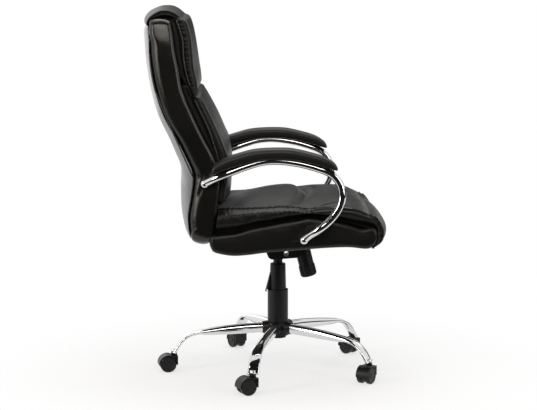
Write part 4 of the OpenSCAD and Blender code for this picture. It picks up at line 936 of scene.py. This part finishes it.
def shell_ring(y, f=None):
    """One ring of the shell: across it at y, or on y's side at a share f of the way to its middle line."""
    side = 1 if y >= 0 else -1
    edge = abs(y) if f is None else mix(SHELL_FLAT, BACK_HALF, edge_round(f, 0.5))
    low, high = corner_drop(edge, BACK_HALF, 70, 28), BACK_TOP - corner_drop(edge, BACK_HALF, 46, 6)
    front, rear = [], []
    for u in spread(SHELL_UP):
        h = mix(low, high, u)
        a, b = shell_front(h), shell_rear(h)
        half = (a - b) / 2 * both_ends(u, 0.015, 0.016)
        mh = min(max(h, SHELL_LINE[0]), SHELL_LINE[1])
        mx, thick = (shell_front(mh) + shell_rear(mh)) / 2, (shell_front(mh) - shell_rear(mh)) / 2
        for points, sign in ((front, 1), (rear, -1)):
            x, z, out = (a + b) / 2 + sign * half, h, abs(y)
            # The rear edge is wider than the front one, except near the top
            lower = 1 - smooth((mix(h, mh, f or 0) - 585) / 45)
            wide = smooth(0.5 + (mx - x) / thick * 0.7) * lower
            if f is None:
                out *= mix(1, SHELL_FLAT_REAR / SHELL_FLAT, wide) - shell_lean(h) / BACK_HALF
            else:
                inwards = min(f * math.hypot(x - mx, h - mh) / mix(*EDGE_REACH, wide), 1)
                x, z = mix(x, mx, f), mix(h, mh, f)
                sink, crease = dimple(x, z + BACK_Z, **BACK_DIMPLE)
                out -= mix(*EDGE_DROP, wide) * (1 - edge_round(inwards, 1))
                out += (ripple((x * 0.7, z * 0.35, 4 * side), 30) - sink) * min(f * 2, 1)
                out += crease * min(f * 2.5, 1)
                out += 1.4 * (1 - (1 - f) ** 2) - 3 * max((mx - x) / thick, 0) ** 1.6 - shell_lean(z)
            points.append((x, side * min(out, BACK_HALF + 0.8), BACK_Z + z))
    return front + list(reversed(rear))


class CHAIR_OT_back_shell(Operator):
    """Builds the back's padded shell: the wide side band with its rounded edge and bolt dimple"""

    bl_idname = "chair.back_shell"
    bl_label = "Back shell"

    def execute(self, context):
        rings = [shell_ring(BACK_HALF, f) for f in SHELL_SHARES]
        rings += [shell_ring(y) for y in SHELL_ACROSS]
        rings += [shell_ring(-BACK_HALF, f) for f in reversed(SHELL_SHARES)]
        padding("back_shell_leather", rings, "smooth", "back_shell", ladder=True)
        return {"FINISHED"}


class CHAIR_OT_back_panel(Operator):
    """Builds the rear panel of the back, a smooth dome inside a piped edge"""

    bl_idname = "chair.back_panel"
    bl_label = "Rear panel"

    def execute(self, context):
        rings = []
        for y in spread(PANEL_ACROSS, PANEL_HALF, -PANEL_HALF):
            foot = PANEL_FOOT + corner_drop(y, PANEL_HALF, 80, 36)
            top = PANEL_TOP - corner_drop(y, PANEL_HALF, 80, 50)
            c = crown(y, PANEL_HALF, 2.4)
            front, rear = [], []
            for u in spread(PANEL_UP):
                h = mix(foot, top, u)
                x = shell_rear(h) - 0.4
                dome = c * both_ends(u, 0.05, 0.05)
                out = 3 + (curve(h, PANEL_DEPTH) + 1.2 * ripple((0, y * 0.7, h * 0.5), 60)) * dome
                front.append((x, y, BACK_Z + h))
                rear.append((x - out, y, BACK_Z + h))
            rings.append(front + list(reversed(rear)))
        padding("back_panel_leather", rings, "panel", "back_panel")
        middle, reach, power = (PANEL_TOP + PANEL_FOOT) / 2, (PANEL_TOP - PANEL_FOOT) / 2 - 1, 0.28
        path = []
        for t in even(PANEL_PIPING_ALONG):
            h = middle + reach * squared(math.sin(2 * math.pi * t), power)
            y = (PANEL_HALF + 1.5) * squared(math.cos(2 * math.pi * t), power)
            path.append(Vector((shell_rear(h) - 2.2, y, BACK_Z + h)))
        bm = bmesh.new()
        add_skin(bm, tube_rings(path, piping_radius(), PIPING_SIDES, (1, 0, 0)))
        new_object("back_panel_piping", bm, "seat", "piping")
        return {"FINISHED"}


def pillow(name, node, half, seam, heights, rear_heights, low_sides, rounds, power, gathers, tables):
    """A cushion of the back: a crowned face, gathered sides between two piped seams, and a flat rear.

    At the sides its foot and its top lie lower by low_sides, and rounds are the shares of its height over
    which its two ends are rounded. The tables are the outlines of its face, its front seam and its rear seam.
    """
    face_table, seam_table, rear_table = tables
    depth = gather_depth()

    def on_shell(h):
        return shell_front(min(h, SHELL_FRONT_TOP)) + SHELL_GAP

    def level(u, c):
        """Height at a share u of the way up, and how thick the cushion is there, up to 1."""
        h = mix(*heights, u) - low_sides[0] * (1 - c) * (1 - u) ** 3 - low_sides[1] * (1 - c) * u
        return h, 0.45 + 0.55 * both_ends(u, *rounds)

    def rear_level(u, c):
        return mix(*rear_heights, u) - low_sides[1] * (1 - c) * u

    def seams(u):
        """Height at a share u of the way up a side, and x of the front seam and the rear seam there."""
        h, thick = level(u, 0)
        front_x = mix(on_shell(h), curve(h, seam_table), thick)
        return h, front_x, max(min(curve(h, rear_table), front_x - 5), on_shell(h) + 1)

    def face_pair(s, u):
        """A point on the crowned face, and the one behind it on the flat rear."""
        y = seam * s
        c = crown(y, seam, power)
        h, thick = level(u, c)
        ends, edge = both_ends(u, *rounds), seam - abs(y)
        x = mix(on_shell(h), mix(curve(h, seam_table), curve(h, face_table), c), thick)
        x += 1.5 * ripple((0, y * 0.55, h * 0.6), 48) * ends - 1.8 * bell(edge, 3.0)
        x += gathers * depth * pleat(h, 13, 11 * s) * bell(edge - 6, 7) * ends
        rear_h = rear_level(u, c)
        return (x, y, BACK_Z + h), (on_shell(rear_h), y, BACK_Z + rear_h)

    def border_pair(side, t, u):
        """A point at a share t of the way round the gathered side, and the one behind it."""
        h, front_x, rear_x = seams(u)
        share = min(t / BORDER, 1)
        puff = hump(share) if t < BORDER else 0
        x = mix(front_x, rear_x, share)
        y = seam + (half - seam) * (BORDER_OUT * share + 0.75 * puff)
        gather = gathers * depth * 0.9 * pleat(h, 13, 5 * side) * share * (0.5 + 0.5 * smooth((h - 560) / 60))
        gather += depth * ripple((h * 0.5, 2, side), 30) * puff
        if t > BORDER:
            under = (t - BORDER) / (1 - BORDER)
            x = mix(rear_x, on_shell(h) + 0.5, smooth(under))
            y -= 14 * smooth(under)
            gather *= 1 - under
        rear_h = rear_level(u, 0)
        return ((x, side * min(y + gather, half + 1.5), BACK_Z + h),
                (mix(on_shell(rear_h), x, 0.6), side * min(y - 6, half - 8), BACK_Z + rear_h))

    rings = []
    for s, t in stations(PILLOW_ACROSS, PILLOW_BORDER):
        pairs = [face_pair(s, u) if t is None else border_pair(s, t, u) for u in spread(PILLOW_UP)]
        front, rear = zip(*pairs)
        rings.append(front + rear[::-REAR_STEP])
    padding(name + "_leather", rings, "leather", node)
    bm = bmesh.new()
    for side in (-1, 1):
        front, rear = [], []
        for u in even(PIPING_ALONG, 0.03, 0.97):
            h, front_x, rear_x = seams(u)
            front.append((front_x, side * (seam + 0.6), BACK_Z + h))
            rear.append((rear_x, side * (seam + (half - seam) * BORDER_OUT + 0.8), BACK_Z + h))
        add_piping(bm, front)
        add_piping(bm, rear)
    new_object(name + "_piping", bm, "seat", "piping")


class CHAIR_OT_back_cushion(Operator):
    """Builds the main back cushion between its two piped seams"""

    bl_idname = "chair.back_cushion"
    bl_label = "Back cushion"

    def execute(self, context):
        pillow("back_cushion", "back_cushion", half=225, seam=215, heights=(124, 460),
               rear_heights=(124, 494), low_sides=(0, 18), rounds=(0.05, 0.02), power=2.2, gathers=0.7,
               tables=(CUSHION_FRONT, CUSHION_SEAM, CUSHION_REAR))
        return {"FINISHED"}


def flap_ring(t, y, draw):
    """One ring of the flap at y, its outside drawn in by a share draw towards its lining.

    t is the share of the way from the middle to a side, and sets how much of the middle's section it has.
    """
    middle, end, lining = (side_route(table, 6) for table in (FLAP_MIDDLE, FLAP_END, FLAP_LINING))
    c = crown(t, 1, 2.2)
    lip = 3 * (1 - edge_round(1 - abs(t), 0.03))
    top = []
    for i, (p, e) in enumerate(zip(middle, end)):
        x = mix(e.x, p.x, c)
        h = mix(e.z, p.z, c) - lip + 0.8 * ripple((p.x * 0.4, t * FLAP_HALF, 3), 40)
        under = lining[round(i * (len(lining) - 1) / (len(middle) - 1))]
        top.append((mix(x, under.x, draw), y, BACK_Z + mix(h, under.z, draw)))
    return top + [(p.x, y, BACK_Z + p.z) for p in reversed(lining)]


class CHAIR_OT_headrest(Operator):
    """Builds the headrest pillow and the padded flap over the top of the back"""

    bl_idname = "chair.headrest"
    bl_label = "Headrest"

    def execute(self, context):
        pillow("headrest", "headrest_cushion", half=215, seam=206, heights=(463, 668),
               rear_heights=(501, 655), low_sides=(18, 0), rounds=(0.06, 0.05), power=2.4, gathers=1.0,
               tables=(HEADREST_FRONT, HEADREST_SEAM, HEADREST_REAR))
        rings = [flap_ring(1, y, draw) for y, draw in FLAP_HEM]
        rings += [flap_ring(t, t * FLAP_HALF, 0) for t in spread(FLAP_ACROSS, 1, -1)]
        rings += [flap_ring(-1, -y, draw) for y, draw in reversed(FLAP_HEM)]
        padding("headrest_flap_leather", rings, "leather", "headrest_cap")
        return {"FINISHED"}


# Arms

def arm_tube(name, mirror):
    """One bent tube, with a ball and a boss at each of its two bolts."""
    path = []
    for x, share, z in ARM_PATH:
        bolts_y = (SEAT_HALF if z < ARM_PARTING else BACK_HALF) + BALL_OUT
        path.append(Vector((x, mirror * mix(bolts_y, ARM_Y, share), z)))
    bm = bmesh.new()
    add_skin(bm, tube_rings(route(path, 8), TUBE_RADIUS, settings().tube_sides))
    for (x, z), half in ((SEAT_BOLT, SEAT_HALF), (BACK_BOLT, BACK_HALF)):
        ball = bmesh.ops.create_uvsphere(bm, u_segments=BOLT_AROUND, v_segments=BALL_UP,
                                         radius=BALL_RADIUS * MM)["verts"]
        bmesh.ops.translate(bm, verts=ball, vec=Vector((x, mirror * (half + BALL_OUT), z)) * MM)
        boss = add_cylinder(bm, BOSS_RADIUS, BOSS_LENGTH)
        bmesh.ops.rotate(bm, verts=boss, cent=(0, 0, 0), matrix=Matrix.Rotation(math.pi / 2, 3, "X"))
        bmesh.ops.translate(bm, verts=boss, vec=Vector((x, mirror * (half + BOSS_OUT), z)) * MM)
    tube = new_object(f"arm_tube_{name}_chrome", bm, "seat", "chrome")
    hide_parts(f"arm_tube_{name}")


def arm_pad(name, mirror):
    """One soft pad along the top of an arm, thin and narrow at both ends."""
    section = round_section(PAD_AROUND, side=0.6, top=0.75, low=0.35, start=0.5)
    rings = []
    for x in spread(PAD_ALONG, *PAD_ENDS):
        foot = curve(x, PAD_FOOT)
        h = max(curve(x, PAD_TOP) - foot, 4)
        w = PAD_HALF * (0.45 + 0.55 * min(h / 30, 1) ** 0.8)
        rings.append([(x, mirror * ARM_Y + w * c, foot + h / 2 + h / 2 * s) for c, s in section])
    pad = skin(f"arm_pad_{name}_moulding", rings, "seat", "pad")
    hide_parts(f"arm_pad_{name}")


class CHAIR_OT_arms(Operator):
    """Builds the bent chromed arm tubes with their ball ends, and the soft arm pads"""

    bl_idname = "chair.arms"
    bl_label = "Arms"

    def execute(self, context):
        for name, mirror in SIDES:
            arm_tube(name, mirror)
            arm_pad(name, mirror)
        return {"FINISHED"}


# Base

def leg_share(shares, q):
    """Value of a leg's table of shares at q points along it."""
    a = min(int(q), len(shares) - 1)
    b = min(a + 1, len(shares) - 1)
    return mix(shares[a], shares[b], q - a)


class CHAIR_OT_legs(Operator):
    """Builds the five chromed legs, oval at the hub and flattened where they bend down to the castors"""

    bl_idname = "chair.legs"
    bl_label = "Legs"

    def execute(self, context):
        steps, across = 6, Vector((0, 1, 0))
        path = side_route([(x, LEG_Z + rise) for x, rise in zip(LEG_X, LEG_RISE)], steps)
        for k in LEGS:
            turn = Matrix.Rotation(math.radians(FIRST_LEG + (k - 1) * 360 / len(LEGS)), 3, "Z")
            rings = []
            for i, p in enumerate(path):
                up = direction(path, i).cross(across)
                h = mix(*LEG_HEIGHTS, leg_share(LEG_TALL, i / steps)) / 2
                w = mix(*LEG_WIDTHS, leg_share(LEG_WIDE, i / steps)) / 2
                rings.append([turn @ (p + w * c * across + h * s * up) for c, s in round_section(LEG_AROUND)])
            bm = bmesh.new()
            add_skin(bm, rings)
            sleeve = add_cylinder(bm, STEM_RADIUS, STEM_LENGTH)
            bmesh.ops.translate(bm, verts=sleeve, vec=turn @ Vector(STEM_PLACE) * MM)
            leg = new_object(f"leg_{k}_chrome", bm, "base", "chrome")
            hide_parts(f"leg_{k}")
        return {"FINISHED"}


class CHAIR_OT_lever_grip(Operator):
    """Builds the flat moulded grip on the end of the lever"""

    bl_idname = "chair.lever_grip"
    bl_label = "Lever grip"

    def execute(self, context):
        low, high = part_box("lever_grip")
        centre = (low + high) / 2 / MM
        rings = []
        for u in spread(GRIP_ALONG):
            y = mix(low.y, high.y, u) / MM
            taper = 1 - 0.3 * smooth((u - 0.75) / 0.25)
            w = max(mix(7.0, 10.2, smooth(u * 2.4)) * taper * edge_round(1 - u, 0.08), 0.4)
            h = max(mix(7.0, 4.6, smooth(u * 2.2)) * edge_round(1 - u, 0.1), 0.3)
            rings.append([(centre.x + w * c, y, centre.z + h * s) for c, s in round_section(GRIP_AROUND)])
        grip = skin("lever_grip_moulding", rings, "lever", "plastic")
        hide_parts("lever_grip")
        return {"FINISHED"}


# Studio

def aim(obj, place, towards):
    """Puts an object at a place, with its view or its light along a direction."""
    bpy.context.scene.collection.objects.link(obj)
    obj.location = place
    obj.rotation_mode = "QUATERNION"
    obj.rotation_quaternion = towards.to_track_quat("-Z", "Y")


def add_camera():
    """A camera at the photograph's viewing angle."""
    data = bpy.data.cameras.new("Camera")
    data.sensor_width, data.lens = SENSOR, FOCAL_LENGTH * SENSOR / FRAME_WIDTH
    data.clip_start, data.clip_end = 0.1, 100
    camera = bpy.data.objects.new("Camera", data)
    level = math.cos(VIEW_PITCH)
    back = Vector((math.sin(VIEW_YAW) * level, -math.cos(VIEW_YAW) * level, math.sin(VIEW_PITCH)))
    aim(camera, Vector(VIEW_TARGET) + back * VIEW_DISTANCE, -back)
    bpy.context.scene.camera = camera


def add_lamp(name, place, target, size, power, colour):
    """A rectangular soft lamp that shines at a target."""
    data = bpy.data.lights.new(name, "AREA")
    data.shape, data.size, data.size_y = "RECTANGLE", *size
    data.energy, data.color = power, colour
    aim(bpy.data.objects.new(name, data), place, Vector(target) - Vector(place))


def white_world():
    """White to the camera, in reflections and through glass, and dimmer where it lights the chair."""
    world = bpy.data.worlds.new("White surroundings")
    bpy.context.scene.world = world
    world.use_nodes = True
    tree = world.node_tree
    path = tree.nodes.new("ShaderNodeLightPath")
    seen = math_node(tree, "MAXIMUM", path.outputs["Is Camera Ray"], path.outputs["Is Glossy Ray"])
    seen = math_node(tree, "MAXIMUM", seen, path.outputs["Is Transmission Ray"])
    shade = tree.nodes["Background"]
    shade.inputs["Color"].default_value = (1, 1, 1, 1)
    level = math_node(tree, "MULTIPLY_ADD", seen, 1 - WORLD_LIGHT, WORLD_LIGHT)
    tree.links.new(level, shade.inputs["Strength"])


def floor_material():
    """A pale floor that keeps the chair's shadow, and fades into the white surroundings."""
    material = bpy.data.materials.new("Pale floor")
    material.use_nodes = True
    tree = material.node_tree
    tree.nodes.remove(tree.nodes["Principled BSDF"])
    value = settings().floor_shade
    diffuse = add(tree, "ShaderNodeBsdfDiffuse", Color=(value, value, value, 1))
    glow = add(tree, "ShaderNodeEmission", Strength=1.0)
    lit = add(tree, "ShaderNodeMixShader", Fac=FLOOR_GLOW)
    clear = tree.nodes.new("ShaderNodeBsdfTransparent")
    blend = tree.nodes.new("ShaderNodeMixShader")
    where = tree.nodes.new("ShaderNodeTexCoord")
    length = tree.nodes.new("ShaderNodeVectorMath")
    length.operation = "LENGTH"
    fade = tree.nodes.new("ShaderNodeMapRange")
    fade.interpolation_type = "SMOOTHSTEP"
    fade.inputs["From Min"].default_value, fade.inputs["From Max"].default_value = FLOOR_FADE
    for output, socket in ((diffuse.outputs[0], lit.inputs[1]), (glow.outputs[0], lit.inputs[2]),
                           (where.outputs["Object"], length.inputs[0]),
                           (length.outputs["Value"], fade.inputs["Value"]),
                           (fade.outputs["Result"], blend.inputs["Fac"]),
                           (lit.outputs[0], blend.inputs[1]), (clear.outputs[0], blend.inputs[2]),
                           (blend.outputs[0], tree.nodes["Material Output"].inputs["Surface"])):
        tree.links.new(output, socket)
    return material


def add_stage(name, bm, material):
    """Turns a bmesh into a part of the studio, which isn't part of the chair."""
    mesh = bpy.data.meshes.new(name)
    bm.to_mesh(mesh)
    bm.free()
    mesh.materials.append(material)
    obj = bpy.data.objects.new(name, mesh)
    bpy.context.scene.collection.objects.link(obj)
    return obj


class CHAIR_OT_studio(Operator):
    """Sets the camera, the soft lamps, the pale floor and the white surroundings"""

    bl_idname = "chair.studio"
    bl_label = "Studio"

    def execute(self, context):
        context.scene.view_settings.view_transform = "Standard"
        add_camera()
        white_world()
        for lamp in LAMPS:
            add_lamp(*lamp)
        bm = bmesh.new()
        bmesh.ops.create_circle(bm, cap_ends=True, segments=96, radius=FLOOR_RADIUS)
        add_stage("floor", bm, floor_material())
        bm = bmesh.new()
        for corners in FLAGS:
            bm.faces.new([bm.verts.new(corner) for corner in corners])
        dark = bpy.data.materials.new("Dark cloth")
        dark.use_nodes = True
        shader(dark, {"Base Color": (0.02, 0.02, 0.02, 1), "Roughness": 1.0, "Specular IOR Level": 0.0})
        flags = add_stage("studio_flags", bm, dark)
        flags.visible_camera = flags.visible_diffuse = flags.visible_shadow = False
        return {"FINISHED"}


class CHAIR_PT_builder(Panel):
    """Lists the sizes, the colours and the steps that build the chair"""

    bl_idname = "CHAIR_PT_builder"
    bl_label = "Reclining chair"
    bl_space_type = "VIEW_3D"
    bl_region_type = "UI"
    bl_category = "Chair"

    def draw(self, context):
        column = self.layout.column()
        for name in ChairSettings.__annotations__:
            column.prop(context.scene.chair_settings, name)
        for operator in STEPS:
            column.operator(operator.bl_idname)


STEPS = (CHAIR_OT_studio, CHAIR_OT_finishes, CHAIR_OT_seat_cushion, CHAIR_OT_seat_band, CHAIR_OT_back_shell,
         CHAIR_OT_back_panel, CHAIR_OT_back_cushion, CHAIR_OT_headrest, CHAIR_OT_arms, CHAIR_OT_legs,
         CHAIR_OT_lever_grip)
CLASSES = (ChairSettings,) + STEPS + (CHAIR_PT_builder,)


def register():
    for cls in CLASSES:
        bpy.utils.register_class(cls)
    bpy.types.Scene.chair_settings = PointerProperty(type=ChairSettings)


def unregister():
    del bpy.types.Scene.chair_settings
    for cls in reversed(CLASSES):
        bpy.utils.unregister_class(cls)


def main():
    register()
    for step in STEPS:
        area, name = step.bl_idname.split(".")
        getattr(getattr(bpy.ops, area), name)()


if __name__ == "__main__":
    main()
